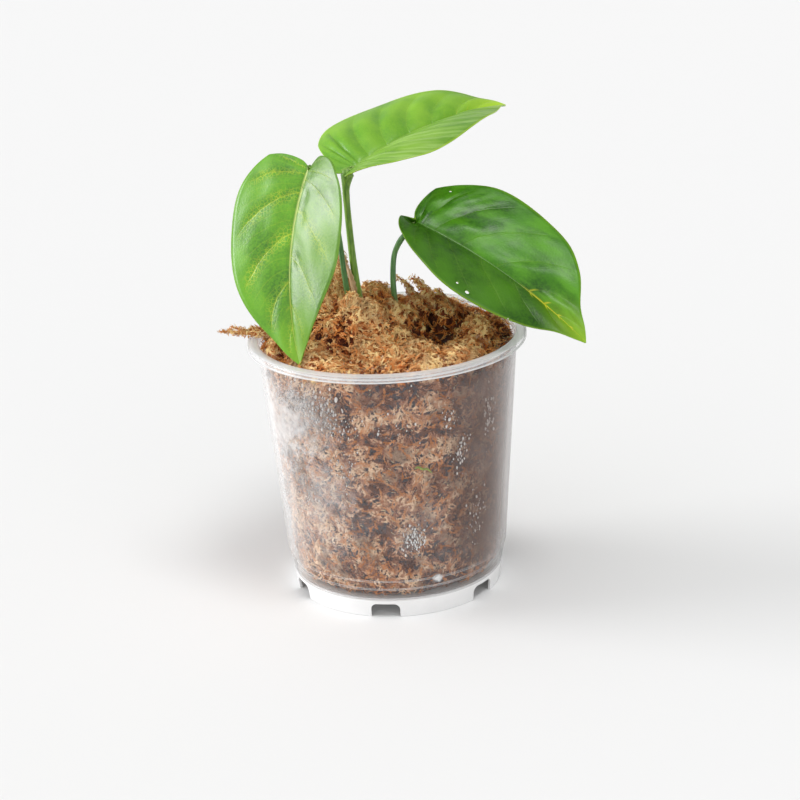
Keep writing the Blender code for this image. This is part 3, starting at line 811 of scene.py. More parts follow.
def makeSheath(values):
    points = []
    columns, rows = values["columns"], values["rows"]
    for j in range(rows):
        up = j / (rows - 1)
        height = values["bottom"] + (values["top"] - values["bottom"]) * up
        spread = math.radians(values["spread"]) * (1 - 0.85 * up ** 4)
        spread *= 1 + 0.08 * math.sin(j * 1.9)
        middle = [foot + lean * up for foot, lean in zip(values["foot"], values["lean"])]
        for i in range(columns):
            turn = math.radians(values["turn"]) + spread * (2 * i / (columns - 1) - 1)
            reach = values["inner"] + values["opening"] * up ** 1.5
            x, y, z = polar(reach + values["ripple"] * math.sin(i * 1.7 + j * 0.5), turn, height)
            points.append((middle[0] + x, middle[1] + y, z))
    faces = gridFaces(rows, columns, flip=True)
    item = makeObject("dry_sheath", makeMesh("dry_sheath", points, faces))
    thicken(item, values["thick"], 0)
    skin = sheathMaterial(values["colours"])
    finishPiece(settle(item), [skin], "dry_sheath", "sheath")


makeSheath(sheathValues)
print("sheath made")


# Moss filling: a dark body with strands over it

potValues = {
    "rimTop": 113.4, "rimRadius": 60.0, "rimLip": 3.0, "rimInner": 55.2, "wallTop": 55.9,
    "wallHigh": 110.0, "wallFoot": 48.3, "stepHeight": 17.7, "stepIn": 0.8, "wallThick": 1.0,
    "floorTop": 8.8, "floorThick": 1.0, "footRadius": 45.3, "sides": 144, "notches": 6,
    "notchWidth": 12.5, "notchHeight": 6.3, "notchRounding": 2.6, "notchReach": (40.0, 52.0),
    "notchFirst": -38.5, "drainRing": 26.0, "drainRadius": 4.0}
mossValues = {
    "base": 2.4, "hills": [(-14.0, 7.0, 17.0, 17.0), (21.5, 12.0, 9.5, 6.0)],
    "warp": 3.2, "cells": [(15.0, 8.0, 0.44), (6.4, 3.0, 0.36)],  # size, height and tone: painted light on each dome, painted shade in the crevices
    "edge": (53.8, 6.0), "fall": 4.0,
    "hollow": 2.6, "sides": 160, "inset": 2.3, "topInset": 1.6, "seed": 5,
    "warpSeed": 1795830341,
    "soft": (0.35, 0.65), "domeWide": 0.55, "domePower": 0.6, "rings": (0.4, 52.6, 46),
    "levels": (108, 19.5, 48), "foot": [(2.0, 15.0), (1.0, 10.6), (-0.8, 9.3)], "bottom": 9.3,
    "ripple": (0.8, 1.3), "sideDepthShade": (0.55, -0.75), "litFrontFrom": (-14.0, 16.0),
    "shadedRightFrom": (16.0, 12.0, -0.12), "litLeftFrom": (20.0, 12.0, 0.34),
    # a strand's brightness, painted light and shade: the least, and what the lit front, its clump and
    # the rise add
    "crest": 0.03, "litFrontShare": 0.26, "clumpLightShare": 0.050, "riseLightShare": 0.0105,
    "topCounts": {"near": 540000, "far": 540000},
    "wallCounts": {"left": 430000, "right": 450000, "back": 220000}, "sprayCount": 700000,
    "clumps": [  # place, rise and spread of the larger clumps and hollows
        (24, 26, 6.5, 6), (-5, 33, 5, 7), (25, -2, -11, 9), (38, -3, 4.5, 6), (7, -37, 3.5, 8),
        (38, 32, -4, 8), (46, 12, -1.5, 6), (35, 18, -3.5, 7),
        (-17, -26, -4, 6), (-30, -38, 3, 7), (-7, -50, -3, 5), (8, -6, 3, 6), (44, -20, -2.5, 5),
        (-2, 12, -3, 5), (14, 8, 3, 5), (-32, 0, 2.5, 7), (28, -30, 2.5, 6), (-40, -18, -2, 5)]}
groundValues = {  # in metres: which faces of the body the strands stand on
    "topTilt": 0.2, "topLow": 0.104, "wallTilt": 0.85, "wallBand": (0.0095, 0.1125),
    "wallReach": 0.040}


def limit(value):
    return min(1.0, max(0.0, value))


def wallRadius(height):
    pot = potValues
    share = (height - pot["stepHeight"]) / (pot["wallHigh"] - pot["stepHeight"])
    return pot["wallFoot"] + share * (pot["wallTop"] - pot["wallFoot"])


def onWall(azimuth, height, inset):
    return polar(wallRadius(height) - inset, math.radians(azimuth - 90), height)


def heap(x, y, mounds, start=0.0):
    for middleX, middleY, height, spread in mounds:
        start += height * math.exp(-((x - middleX) ** 2 + (y - middleY) ** 2) / (2 * spread ** 2))
    return start


def mossHeight(x, y, values):
    # the surface's height, and how far it stands out among its neighbours from 0 to 1; this also
    # paints light on crests and shade in hollows
    rise = heap(x, y, values["hills"], values["base"])
    clump = heap(x, y, values["clumps"])
    reach, width = values["edge"]
    edge = limit((reach - math.hypot(x, y)) / width)
    soft = values["soft"][0] + values["soft"][1] * edge
    spot = Vector((x, y, 3.0))
    spot += noise.noise_vector(spot / 7.0) * values["warp"]
    height = potValues["rimTop"] + rise + clump * soft - (1.0 - edge) ** 2 * values["fall"]
    start, width = values["litFrontFrom"]
    near = limit((start - y) / width)  # painted light: the front strands are paler, as the front is better lit
    crest = (values["crest"] + values["litFrontShare"] * near + values["clumpLightShare"] * clump
             + values["riseLightShare"] * rise)
    for size, heave, weight in values["cells"]:
        gaps, places = noise.voronoi(spot / size)
        dome = min(1.0, (gaps[1] - gaps[0]) / values["domeWide"]) ** values["domePower"]
        lift = noise.noise(places[0] * 4.7)
        height += heave * (dome * (0.8 + 0.9 * lift) - 0.6) * soft
        crest += weight * dome * (1.0 + 0.9 * lift)
    return height, limit(crest)


def sideDent(x, y, z, radius, values):
    # where the moss behind the wall lies and how bright it is, with painted shade where it lies
    # deeper in
    spot = Vector((x, y, z))
    dent = noise.noise(spot / 8.0) + 0.5 * noise.noise(spot / 4)
    inward = 1.0 - (values["hollow"] * max(0.0, dent)
                    + 0.7 * max(0.0, noise.noise(spot / 1.8))) / radius
    crest = values["sideDepthShade"][0] + values["sideDepthShade"][1] * dent
    if y < 0:  # painted shade at the right of the front, painted light at its left
        for far, (start, width, share) in ((x, values["shadedRightFrom"]), (-x, values["litLeftFrom"])):
            crest += share * limit((far - start) / width)
    return (x * inward, y * inward, z), limit(crest)


def mossBody(values):
    top = potValues["rimTop"] - 0.5
    profile = [(r, top) for r in np.linspace(*values["rings"])]
    heights = np.concatenate([[top - 1.5], np.linspace(*values["levels"])])
    profile += [(wallRadius(z) - potValues["wallThick"] - values["inset"], z) for z in heights]
    low = potValues["footRadius"] - 1.2 - values["inset"]
    profile += [(low + out, z) for out, z in values["foot"]]
    profile += [(r, values["bottom"]) for r in (20.0, 0.4)]
    count = values["sides"]
    points, crests = [], []
    for radius, height in profile:
        for k in range(count):
            place, crest = polar(radius, math.tau * k / count, height), 0.4
            x, y, z = place
            if height == top:
                z, crest = mossHeight(x, y, values)
                rise, fine = values["ripple"]
                z += rise * noise.noise(Vector((x, y, z)) / fine) - values["topInset"]
                place = x, y, z
            elif height > 10:
                place, crest = sideDent(x, y, z, radius, values)
            points.append(place)
            crests.append(crest)
    last = (len(profile) - 1) * count
    faces = gridFaces(len(profile), count, True)
    faces += [tuple(range(count)), tuple(range(last + count - 1, last - 1, -1))]
    item = makeObject("moss_body", makeMesh("moss_body", points, faces))
    outward(item)
    store(item.data, "crest", crests)
    return item


mossLooks = {
    "top": [(0.0, (0.050, 0.012, 0.006)), (0.20, (0.23, 0.050, 0.018)),
            (0.42, (0.72, 0.220, 0.055)), (0.64, (1.0, 0.46, 0.15)), (1.0, (1.0, 0.74, 0.36))],
    "wall": [(0.0, (0.035, 0.018, 0.018)), (0.22, (0.140, 0.050, 0.028)),
             (0.45, (0.44, 0.190, 0.105)), (0.68, (0.72, 0.39, 0.23)), (1.0, (0.95, 0.70, 0.48))],
    "gaps": (0.085, 0.068, 0.078), "bleached": (1.0, 0.82, 0.52),
    "topShares": {"tone": 0.50, "clump": 0.55, "crest": 1.10, "tip": 0.62, "less": 0.63,
                  "zone": 0.42, "zoneColour": (0.28, 0.070, 0.028), "rust": (0.56, 0.17, 0.03)},
    "wallShares": {"tone": 0.42, "clump": 0.62, "crest": 0.95, "tip": 0.40, "less": 0.48,
                   "zone": 0.62, "zoneColour": (0.15, 0.055, 0.036), "rust": (0.62, 0.22, 0.05)}}


def shadeMaterial():
    # the ground under the strands: painted shade, as its clump but darker and darkest in the hollows,
    # and grey brown behind the wall with dark blue-grey painted shade in the gaps
    material = newMaterial("mossShade")
    place = objectPlace()
    coarse = noiseNode(place, 330.0, 6.0, 0.7)
    value = mulAdd(attributeNode("crest"), 0.60, -0.42)
    value = mulAdd(coarse, 0.55, value, True)
    lighter = add(value, 0.26, clamp=True)
    wall = mixColour(smoothStep(coarse, 0.44, 0.54), mossLooks["gaps"],
                     rampNode(lighter, mossLooks["wall"]))
    colour = mixColour(smoothStep(separate(place)["Z"], 0.108, 0.111), wall,
                       rampNode(value, mossLooks["top"]))
    return dress(material, {
        "Base Color": colour, "Roughness": 0.95, "Normal": bumpNode(coarse, 1.0, 0.002)})


def strandMaterial(name, stops, shares):
    # tone by strand, by clump and towards each leaflet's tip, with painted light on the crests and
    # painted shade in the hollows
    material = newMaterial(name)
    tone, tip, crest = (attributeNode(k) for k in ("strandTone", "tipShade", "crest"))
    place = objectPlace()
    clump = smoothStep(noiseNode(place, 260.0, 2.0), 0.36, 0.64)
    value = mulAdd(tone, shares["tone"], -shares["less"])
    value = mulAdd(clump, shares["clump"], value)
    value = mulAdd(mathNode("POWER", crest, 1.6), shares["crest"], value)
    colour = rampNode(mulAdd(tip, shares["tip"], value, True), stops)
    zone = smoothStep(noiseNode(place, 62.0, 3.0), 0.48, 0.60, 0.0, shares["zone"])
    colour = mixColour(zone, colour, shares["zoneColour"])
    # some strands are rust red, a few are bleached
    colour = mixColour(smoothStep(tone, 0.90, 0.92, 0.0, 0.7), colour, shares["rust"])
    colour = mixColour(smoothStep(tone, 0.06, 0.08, 0.75, 0.0), colour, mossLooks["bleached"])
    return dress(material, {
        "Base Color": colour, "Roughness": 0.8, "Specular IOR Level": 0.15})


tuftKinds = {  # length, leaflets, arch, curl, stem width, leaflet width and reach
    "looseTufts": [
        (7, 14, 1.0, 1.2, 0.3, 0.9, 1.0), (6, 14, 1.5, 2.0, 0.3, 0.8, 1.0),
        (8.5, 15, 0.8, 0.7, 0.25, 0.7, 0.9), (5, 10, 1.7, 2.6, 0.45, 1.4, 1.3),
        (4.5, 8, 1.2, 1.0, 0.5, 1.9, 1.6), (9, 12, 1.6, 2.4, 0.22, 0.6, 0.7)],
    "flatTufts": [
        (6.5, 10, 0.4, 1.2, 0.36, 1.3, 0.88), (5, 9, 0.6, 1.8, 0.40, 1.5, 0.95),
        (8, 12, 0.3, 0.7, 0.32, 1.2, 0.80), (4, 8, 0.7, 2.6, 0.40, 1.6, 1.00),
        (6, 10, 0.3, 1.4, 0.34, 1.1, 0.85)]}


def makeTuft(name, seed, length, leaflets, arch, curl, thick, broad, spread):
    # one curled branchlet lying along X, clad in small overlapping leaves
    draw = random.Random(seed)
    segments = 5
    spine, headings, heading = [Vector((0, 0, 0))], [], draw.uniform(-0.4, 0.4)
    bend = curl * draw.choice((-1, 1))
    for k in range(segments):
        headings.append(heading)
        spine.append(spine[-1] + Vector(polar(1, heading)) * length / segments)
        heading += bend / segments * (0.5 + k / segments)
    middle = sum(spine, Vector((0, 0, 0))) / len(spine)
    spine = [p - middle + Vector((0, 0, arch * math.sin(math.pi * k / segments)))
             for k, p in enumerate(spine)]
    points, faces, shades = [], [], []
    for k, place in enumerate(spine):
        turn = headings[min(k, segments - 1)]
        wide = thick * (1 - 0.75 * k / segments)
        out = Vector((-math.sin(turn), math.cos(turn), draw.uniform(-0.4, 0.4))) * wide
        points += [place - out, place + out]
        shades += [0.25, 0.25]
        if k:
            n = len(points)
            faces.append((n - 4, n - 3, n - 1, n - 2))
    for k in range(leaflets):
        t = (k + draw.uniform(0.2, 0.8)) / leaflets * 0.97
        low = min(int(t * segments), segments - 1)
        place = spine[low].lerp(spine[low + 1], t * segments - low)
        turn = headings[low] + draw.uniform(0.25, 0.75) * (1 if k % 2 else -1)
        reach = draw.uniform(1.2, 2.1) * (1.2 - 0.55 * t) * spread
        out = Vector(polar(1, turn, draw.uniform(-0.15, 0.5))) * reach
        across = Vector((-math.sin(turn), math.cos(turn), draw.uniform(-0.5, 0.5)))
        across *= draw.uniform(0.26, 0.42) * broad
        belly = place + out * 0.45 + Vector((0, 0, draw.uniform(0.0, 0.3)))
        n = len(points)
        points += [place, belly - across, place + out, belly + across]
        shades += [0.0, 0.45, 1.0, 0.45]
        faces.append((n, n + 1, n + 2, n + 3))
    mesh = bpy.data.meshes.new(name)
    mesh.from_pydata([tuple(p * mm) for p in points], [], faces)
    store(mesh, "tipShade", shades)
    return bpy.data.objects.new(name, mesh)


def tuftCollection(name, kinds):
    group = bpy.data.collections.new(name)
    for index, kind in enumerate(kinds):
        group.objects.link(makeTuft(f"{name}_{index}", 20 + index, *kind))
    return group


strandValues = {  # what each strand tree is given
    "top": {"Smallest": 0.34, "Largest": 0.98, "Tip": 0.45, "Stray": 0.65, "Clump": 80.0,
            "Lift": 0.0006, "Contrast": 1.8},
    "wall": {"Smallest": 0.26, "Largest": 0.85, "Tip": 0.26, "Stray": 0.6, "Clump": 65.0,
             "Lift": 0.0005, "Contrast": 0.9},
    "spray": {"Smallest": 0.3, "Largest": 0.62, "Tip": 0.5, "Stray": 1.4, "Clump": 60.0,
              "Lift": 0.0003, "Contrast": 1.5}}


def strandTree(name, tufts):
    # scatters tufts over a surface: neighbours lie much the same way, as in a combed clump
    given, end = newTree(name, {
        "Geometry": "Geometry", "Density": "Float", "Seed": "Int", "Smallest": "Float",
        "Largest": "Float", "Tip": "Float", "Stray": "Float", "Clump": "Float",
        "Lift": "Float", "Contrast": "Float", "Material": "Material"})

    def drawn(kind="FLOAT", limits=()):
        return addNode("FunctionNodeRandomValue", {
            "Seed": given["Seed"], **dict(enumerate(limits))}, data_type=kind).outputs

    # strands stand thickest where the ground stands out
    crest = addNode("GeometryNodeInputNamedAttribute", {"Name": "crest"},
                    data_type="FLOAT").outputs["Attribute"]
    thickness = mulAdd(mathNode("POWER", crest, given["Contrast"]), 2.05, 0.07)
    points = addNode("GeometryNodeDistributePointsOnFaces", {
        "Mesh": given["Geometry"], "Seed": given["Seed"],
        "Density": multiply(given["Density"], thickness)}).outputs
    spin = drawn("FLOAT_VECTOR", ((-1, -1, -1), (1, 1, 1)))[0]
    reach = combine(X=given["Tip"], Y=given["Tip"], Z=given["Stray"])
    flow = addNode("ShaderNodeTexNoise", {
        "Vector": addNode("GeometryNodeInputPosition").outputs[0],
        "Scale": given["Clump"], "Detail": 0.0}).outputs["Fac"]
    angles = vectorMath("ADD", vectorMath("MULTIPLY", spin, reach)[0],
                        combine(Z=multiply(flow, 3 * math.tau)))[0]
    turn = addNode("FunctionNodeEulerToRotation", {"Euler": angles}).outputs[0]
    facing = addNode("FunctionNodeRotateRotation", {
        "Rotation": points["Rotation"], "Rotate By": turn}, rotation_space="LOCAL")
    size = addNode("ShaderNodeMapRange", {
        "Value": mathNode("POWER", drawn()[1], 1.7), "To Min": given["Smallest"],
        "To Max": given["Largest"]})
    source = addNode("GeometryNodeCollectionInfo", {
        "Collection": tufts, "Separate Children": True, "Reset Children": True})
    copies = addNode("GeometryNodeInstanceOnPoints", {
        "Points": points["Points"], "Instance": source.outputs[0], "Pick Instance": True,
        "Rotation": facing.outputs[0], "Scale": size.outputs[0]})
    raised = addNode("GeometryNodeTranslateInstances", {
        "Instances": copies.outputs[0], "Translation": combine(Z=given["Lift"]),
        "Local Space": True})
    toned = addNode("GeometryNodeStoreNamedAttribute", {
        "Geometry": raised.outputs[0], "Name": "strandTone", "Value": drawn()[1]},
        domain="INSTANCE", data_type="FLOAT")
    return endTree(end, toned.outputs[0], given["Material"])


sprayValues = {  # path, radii and how bright the strands are
    "sprig": ([(-44, -2, 111.9), (-50, -1.5, 115.3), (-57, -1, 115.9), (-64, -0.5, 116.8),
               (-71.4, 0, 117.5)], [2.4, 1.3, 0.8, 0.6, 0.2], 0.92),
    "sprig_low": ([(-46, 2.5, 113.4), (-53, 1.8, 116.6), (-61, 1.6, 116.9), (-67, 2.4, 118.6)],
                  [1.6, 0.9, 0.5, 0.2], 0.92),
    "wisp": ([(17, 9, 117.4), (13.5, 9.5, 124), (9.5, 10, 131), (5.6, 10, 135)],
             [2.0, 1.2, 0.7, 0.2], 0.95),
    "wisp_back": ([(22, 12, 117.4), (18, 12, 126), (15, 12.5, 131), (11.5, 13, 133)],
                  [2.2, 1.6, 0.9, 0.2], 0.88),
    # the peak tufts are painted at or near full brightness: painted light, as if lit from behind
    "peak": ([(-21, 9, 122), (-20.5, 9.5, 131), (-18.0, 8.0, 140), (-17, 8.5, 147.5)],
             [6.0, 4.2, 2.4, 0.5], 1.0),
    "peak_left": ([(-28, 8, 120), (-27, 7.5, 128), (-24.5, 8.5, 134), (-23.5, 8, 139)],
                  [5.0, 3.4, 2.0, 0.4], 1.0),
    "peak_back": ([(-19, 16, 120), (-17, 15, 128), (-16, 13, 134)], [4.5, 3.0, 0.5], 0.95),
}
greenValues = {  # azimuth from the front and height along the strand
    "path": [(9.7, 69.5), (11.4, 69.9), (13.6, 68.7), (15.6, 68.6), (18.0, 66.3)],
    "radius": 0.55, "inset": 0.5, "colours": ((0.16, 0.30, 0.02), (0.42, 0.60, 0.06))}


def isTop(face, side):
    middle = face.calc_center_median()
    return (face.normal.z > groundValues["topTilt"] and middle.z > groundValues["topLow"]
            and (middle.y < 0) == (side == "near"))


def isWall(face, side):
    middle = face.calc_center_median()
    low, high = groundValues["wallBand"]
    inside = abs(face.normal.z) < groundValues["wallTilt"] and low < middle.z < high
    outer = math.hypot(middle.x - potAxis * mm, middle.y) > groundValues["wallReach"]
    left = middle.x < potAxis * mm
    here = "back" if middle.y > 0 else "left" if left else "right"
    return inside and outer and here == side


def pickFaces(mesh, test, side):
    return rework(mesh, lambda work: bmesh.ops.delete(
        work, geom=[face for face in work.faces if not test(face, side)], context="FACES"),
        bpy.data.meshes.new("ground"))


def makeSprays(values):
    # the tufts' cores, and how bright the strands on them are
    tubes, tones = [], []
    for path, radii, tone in values.values():
        fine = smoothPath(path, 4)
        tubes.append((fine, np.interp(np.linspace(0, 1, len(fine)),
                                      np.linspace(0, 1, len(radii)), radii), 8))
        tones += [tone] * (8 * len(fine) + 2)
    cores = joinTubes("moss_spray_cores", tubes)
    store(cores.data, "crest", tones)
    return cores


def makeGreen(values):
    inset = potValues["wallThick"] + values["inset"]
    line = smoothPath([onWall(*spot, inset) for spot in values["path"]], 5)
    thin = values["radius"] * np.sin(np.linspace(0.25, math.pi - 0.12, len(line))) ** 0.6
    green = joinTubes("moss_green_strand", [(line, thin, 8)])
    finishPiece(green, [stalkMaterial("greenMoss", *values["colours"])], "sphagnum", "moss")


def makeMoss(values):
    noise.seed_set(values["warpSeed"])
    body = mossBody(values)
    layers = []
    for kind, test, more in (("top", isTop, 0), ("wall", isWall, 1)):
        for side, count in values[kind + "Counts"].items():
            layers.append((kind, side, count, more, pickFaces(body.data, test, side)))
    shade = shadeMaterial()
    finishPiece(body, [shade], "sphagnum", "moss")
    loose, flat = (tuftCollection(name, kinds) for name, kinds in tuftKinds.items())
    trees = {"top": strandTree("mossStrands", loose), "wall": strandTree("wallStrands", flat)}
    looks = {"top": strandMaterial("strawMoss", mossLooks["top"], mossLooks["topShares"]),
             "wall": strandMaterial("wallMoss", mossLooks["wall"], mossLooks["wallShares"])}
    trees["spray"], looks["spray"] = trees["top"], looks["top"]

    def strew(name, kind, count, more, ground):
        return runTree(makeObject(name, ground), trees[kind], {
            "Density": float(count), "Seed": values["seed"] + more, "Material": looks[kind],
            **strandValues[kind]})

    for kind, side, *rest in layers:
        finishPiece(strew(f"moss_{kind}_{side}", kind, *rest), [looks[kind]], "sphagnum", "moss")
    cores = makeSprays(sprayValues)
    spray = strew("moss_sprays", "spray", values["sprayCount"], 2, cores.data.copy())
    finishPiece(cores, [shade], "sphagnum", "moss")
    finishPiece(spray, [looks["spray"]], "sphagnum", "moss")
    makeGreen(greenValues)


makeMoss(mossValues)
print("moss made")


# Clear nursery pot

def potProfile(pot):
    # radius and height of each corner of the turned wall, outside first
    top, rim, foot, inner = (pot[k] for k in ("rimTop", "rimRadius", "footRadius", "rimInner"))
    wall, knee, step, base = (pot[k] for k in ("wallTop", "wallFoot", "stepHeight", "floorTop"))
    lip, low, under = top - pot["rimLip"], knee - pot["stepIn"], base - pot["floorThick"]
    return [
        (rim - 1.4, top), (rim - 0.8, top - 0.08), (rim - 0.35, top - 0.32),
        (rim - 0.06, top - 0.75), (rim, top - 1.3), (rim, lip + 0.5), (rim - 0.12, lip + 0.15),
        (rim - 0.4, lip), (rim - 0.8, lip), (rim - 1.05, lip + 0.2), (rim - 1.15, lip + 0.6),
        (rim - 1.25, top - 1.6), (rim - 1.6, top - 1.25), (wall + 1.1, top - 1.2),
        (wall + 0.35, top - 1.5), (wall, top - 2.2), (knee, step), (knee - 0.15, step - 0.35),
        (low + 0.1, step - 0.7), (low, step - 1.0), (low - 0.28, 13.6), (low - 0.45, 13.35),
        (low - 0.62, 13.0), (foot + 0.9, under), (foot + 0.08, 0.5), (foot - 0.1, 0.08),
        (foot - 0.35, 0.0), (foot - 0.75, 0.0), (foot - 0.95, 0.15), (foot - 0.98, 0.5),
        (foot - 0.2, base - 1.5), (foot - 0.45, base - 1.1), (foot - 0.9, under), (5.0, under),
        (5.0, base), (foot - 0.95, base), (foot - 0.4, base + 0.25), (foot - 0.1, base + 0.8),
        (low - 1.65, 13.2), (low - 1.0, step - 0.7), (knee - 1, step + 0.3),
        (wall - 1, top - 2.6), (wall - 0.9, top - 1.6), (inner, top - 0.55),
        (inner + 0.25, top - 0.2), (inner + 0.7, top)]


def turnedMesh(name, profile, sides):
    points = [polar(radius, math.tau * k / sides, height)
              for radius, height in profile for k in range(sides)]
    # the last ring joins the first
    faces = [tuple(v % len(points) for v in face)
             for face in gridFaces(len(profile) + 1, sides, True)]
    item = makeObject(name, makeMesh(name, points, faces))
    outward(item)
    return item


def roundedNotch(pot, turn):
    half, high, rounding = (pot[k] for k in ("notchWidth", "notchHeight", "notchRounding"))
    half /= 2
    outline = [(-half, -2), (half, -2)]
    for centre, start in ((half - rounding, 0), (-half + rounding, 90)):
        for k in range(7):
            out, up, level = polar(rounding, math.radians(start + 15 * k))
            outline.append((centre + out, high - rounding + up))
    count = len(outline)
    points = [(reach * math.cos(turn) - across * math.sin(turn),
               reach * math.sin(turn) + across * math.cos(turn), height)
              for reach in pot["notchReach"] for across, height in outline]
    faces = [tuple(range(count)), tuple(range(2 * count - 1, count - 1, -1))]
    return makeMesh("notch", points, faces + gridFaces(2, count, True), False)


plasticValues = {
    "colour": (0.90, 0.905, 0.91), "litSkirtColour": (0.985, 0.985, 0.985),
    "haze": 0.035, "edge": 0.62, "rim": 0.16, "litSkirt": 0.84, "cloud": 0.07, "streak": 0.22,
    "rimFrom": (0.1095, 0.1105), "skirtTo": (0.0075, 0.0088), "most": 0.93,
    "wallShade": 0.38, "wallShadeColour": (0.140, 0.045, 0.012),
    "wallShadeFrom": {"X": (0.012, 0.034), "low": (0.010, 0.030), "high": (0.100, 0.1095)},
    "lines": [  # height, half width in mm and strength of the bright lines along the moulding's corners, painted highlights
        (110.6, 0.35, 0.60), (113.3, 0.25, 0.40), (17.4, 0.30, 0.42), (13.3, 0.28, 0.38),
        (8.9, 0.35, 0.45)],
    "fog": [  # azimuth, height, size in mm, strength
        (-62, 86, 20, 0.30), (-44, 90, 18, 0.17), (-50, 50, 26, 0.16), (-30, 60, 16, 0.06),
        (48, 30, 14, 0.08), (3, 36, 7, 0.06), (19.5, 16.8, 2.2, 0.9)]}


def wallShadeShare(place, parts, values):
    # painted shade at the right of the wall, brown, in faint upright streaks
    ends = values["wallShadeFrom"]
    right = multiply(smoothStep(parts["X"], *ends["X"]),
                     smoothStep(parts["Z"], *ends["high"], 1.0, 0.0))
    right = multiply(right, smoothStep(parts["Z"], *ends["low"]))
    streak = drawnOut(place, 170.0, 0.04, 2.0)
    return multiply(right, add(
        values["wallShade"], smoothStep(streak, 0.48, 0.64, 0.0, values["streak"])))


def addFog(share, place, values):
    patchy = smoothStep(noiseNode(place, 150.0, 4.0), 0.3, 0.6, 0.25, 1.0)
    ragged = subtract(noiseNode(place, 420.0, 3.0), 0.5)
    for azimuth, level, size, strength in values["fog"]:
        centre = tuple(toWorld(onWall(azimuth, level, 0.0)))
        away = vectorMath("DISTANCE", place, centre)["Value"]
        away = mulAdd(ragged, size * 1.6 * mm, away)
        fog = smoothStep(away, size * 0.25 * mm, size * 1.3 * mm, strength, 0.0)
        share = add(share, multiply(fog, patchy))
    return share


def plasticMaterial(values):
    material = newMaterial("clearPlastic")
    place = objectPlace()
    parts = separate(place)
    height = parts["Z"]
    smear = noiseNode(place, 34.0, 5.0, 0.6)
    share = add(smoothStep(smear, 0.45, 0.8, 0.0, values["cloud"]),
                smoothStep(facingNode(0.35), 0.38, 1.0, values["haze"], values["edge"]))
    # the thicker rim looks milkier; the skirt is painted milky white, painted light where the pot's
    # shade falls on it
    share = add(share, smoothStep(height, *values["rimFrom"], 0.0, values["rim"]))
    share = add(share, smoothStep(height, *values["skirtTo"], values["litSkirt"], 0.0))
    for level, half, strength in values["lines"]:
        off = mathNode("ABSOLUTE", subtract(height, level * mm))
        share = add(share, smoothStep(off, half * 0.4 * mm, half * mm, strength, 0.0))
    wallShade = wallShadeShare(place, parts, values)
    share = add(share, wallShade)
    # the skirt's whiter colour is painted light as well
    white = mixColour(smoothStep(height, *values["skirtTo"]), values["litSkirtColour"],
                      values["colour"])
    colour = mixColour(mathNode("DIVIDE", wallShade, share), white, values["wallShadeColour"])
    share = mathNode("MINIMUM", addFog(share, place, values), values["most"])
    return dress(material, {"Base Color": colour, "Alpha": share, "Roughness": 0.16,
                            "Specular IOR Level": 0.7, "IOR": 1.8})


def makePot(pot):
    item = turnedMesh("nursery_pot", potProfile(pot), pot["sides"])
    cutters = []
    for k in range(pot["notches"]):
        turn = math.radians(pot["notchFirst"] + 360 * k / pot["notches"])
        cutters.append(roundedNotch(pot, turn))
        turn += math.radians(180 / pot["notches"])
        path = [polar(pot["drainRing"], turn, z) for z in (5.0, 8.0, 12.0)]
        cutters.append(makeMesh("drain", *tubeData(path, [pot["drainRadius"]] * 3, 24), False))
    cutAway(item, cutters)
    item.data.set_sharp_from_angle(angle=math.radians(40))
    finishPiece(item, [plasticMaterial(plasticValues)], "clear_plastic", "pot")


makePot(potValues)
print("pot made")


# Beads of water inside the wall

beadValues = {
    "patches": [  # azimuth, height, spread across and up, count and scale
        (-52, 97, 9, 6, 80, 1.0), (-42, 96, 9, 6, 80, 1.2), (-31, 97, 8, 6, 70, 1.1),
        (-28, 89, 11, 5, 100, 0.8), (-24, 72, 8, 12, 110, 0.62), (8, 37, 6, 7, 190, 0.9),
        (27, 90, 5, 8, 30, 1.0), (33, 74, 5, 8, 55, 1.0), (50, 86, 5, 12, 70, 1.0),
        (44, 42, 6, 12, 60, 1.0), (-50, 60, 10, 20, 40, 0.8), (-4, 88, 14, 8, 20, 1.0)],
    "large": [  # azimuth, height, radius
        (-46, 107, 0.9), (-42, 105, 1.35), (-25, 101, 1.5), (-42, 98, 1.0), (-37, 98, 1.1),
        (-35, 101, 1.15), (-29, 96, 1.0), (-33, 94, 0.9), (-43, 94, 0.9), (-39, 94, 0.85),
        (-29, 99, 0.85), (-49, 101, 0.8), (-45, 101, 0.8), (-22, 96, 0.7), (9, 107, 0.6)],
    "radius": (0.26, 0.95), "seed": 11, "inset": 1.15, "heights": (20.0, 108.0),
    "round": 8, "down": 4, "glintSide": (0.88, -0.46, 0.08),
    "through": (0.160, 0.075, 0.048), "glint": (1.0, 0.98, 0.96)}


def beadMaterial(values):
    # a bead shows what is behind it as painted brown, inside a painted highlight, a white crescent on
    # the window's side, and a thin dark edge
    material = newMaterial("waterBeads")
    ring = smoothStep(facingNode(0.5), 0.16, 0.42)
    glint = smoothStep(attributeNode("glint"), 0.34, 0.56)
    return dress(material, {
        "Base Color": mixColour(glint, values["through"], values["glint"]),
        "Alpha": mulAdd(glint, 0.72, mulAdd(ring, 0.30, 0.14), True),
        "Roughness": 0.06, "Specular IOR Level": 1.0})


def beadTree():
    # one bead on each point, scaled by the size stored there
    given, end = newTree("waterBeads", {
        "Geometry": "Geometry", "Bead": "Object", "Material": "Material"})
    shape = addNode("GeometryNodeObjectInfo", {"Object": given["Bead"]})
    size = addNode("GeometryNodeInputNamedAttribute", {"Name": "beadSize"}, data_type="FLOAT")
    copies = addNode("GeometryNodeInstanceOnPoints", {
        "Points": given["Geometry"], "Instance": shape.outputs["Geometry"],
        "Scale": size.outputs["Attribute"]})
    return endTree(end, copies.outputs[0], given["Material"])


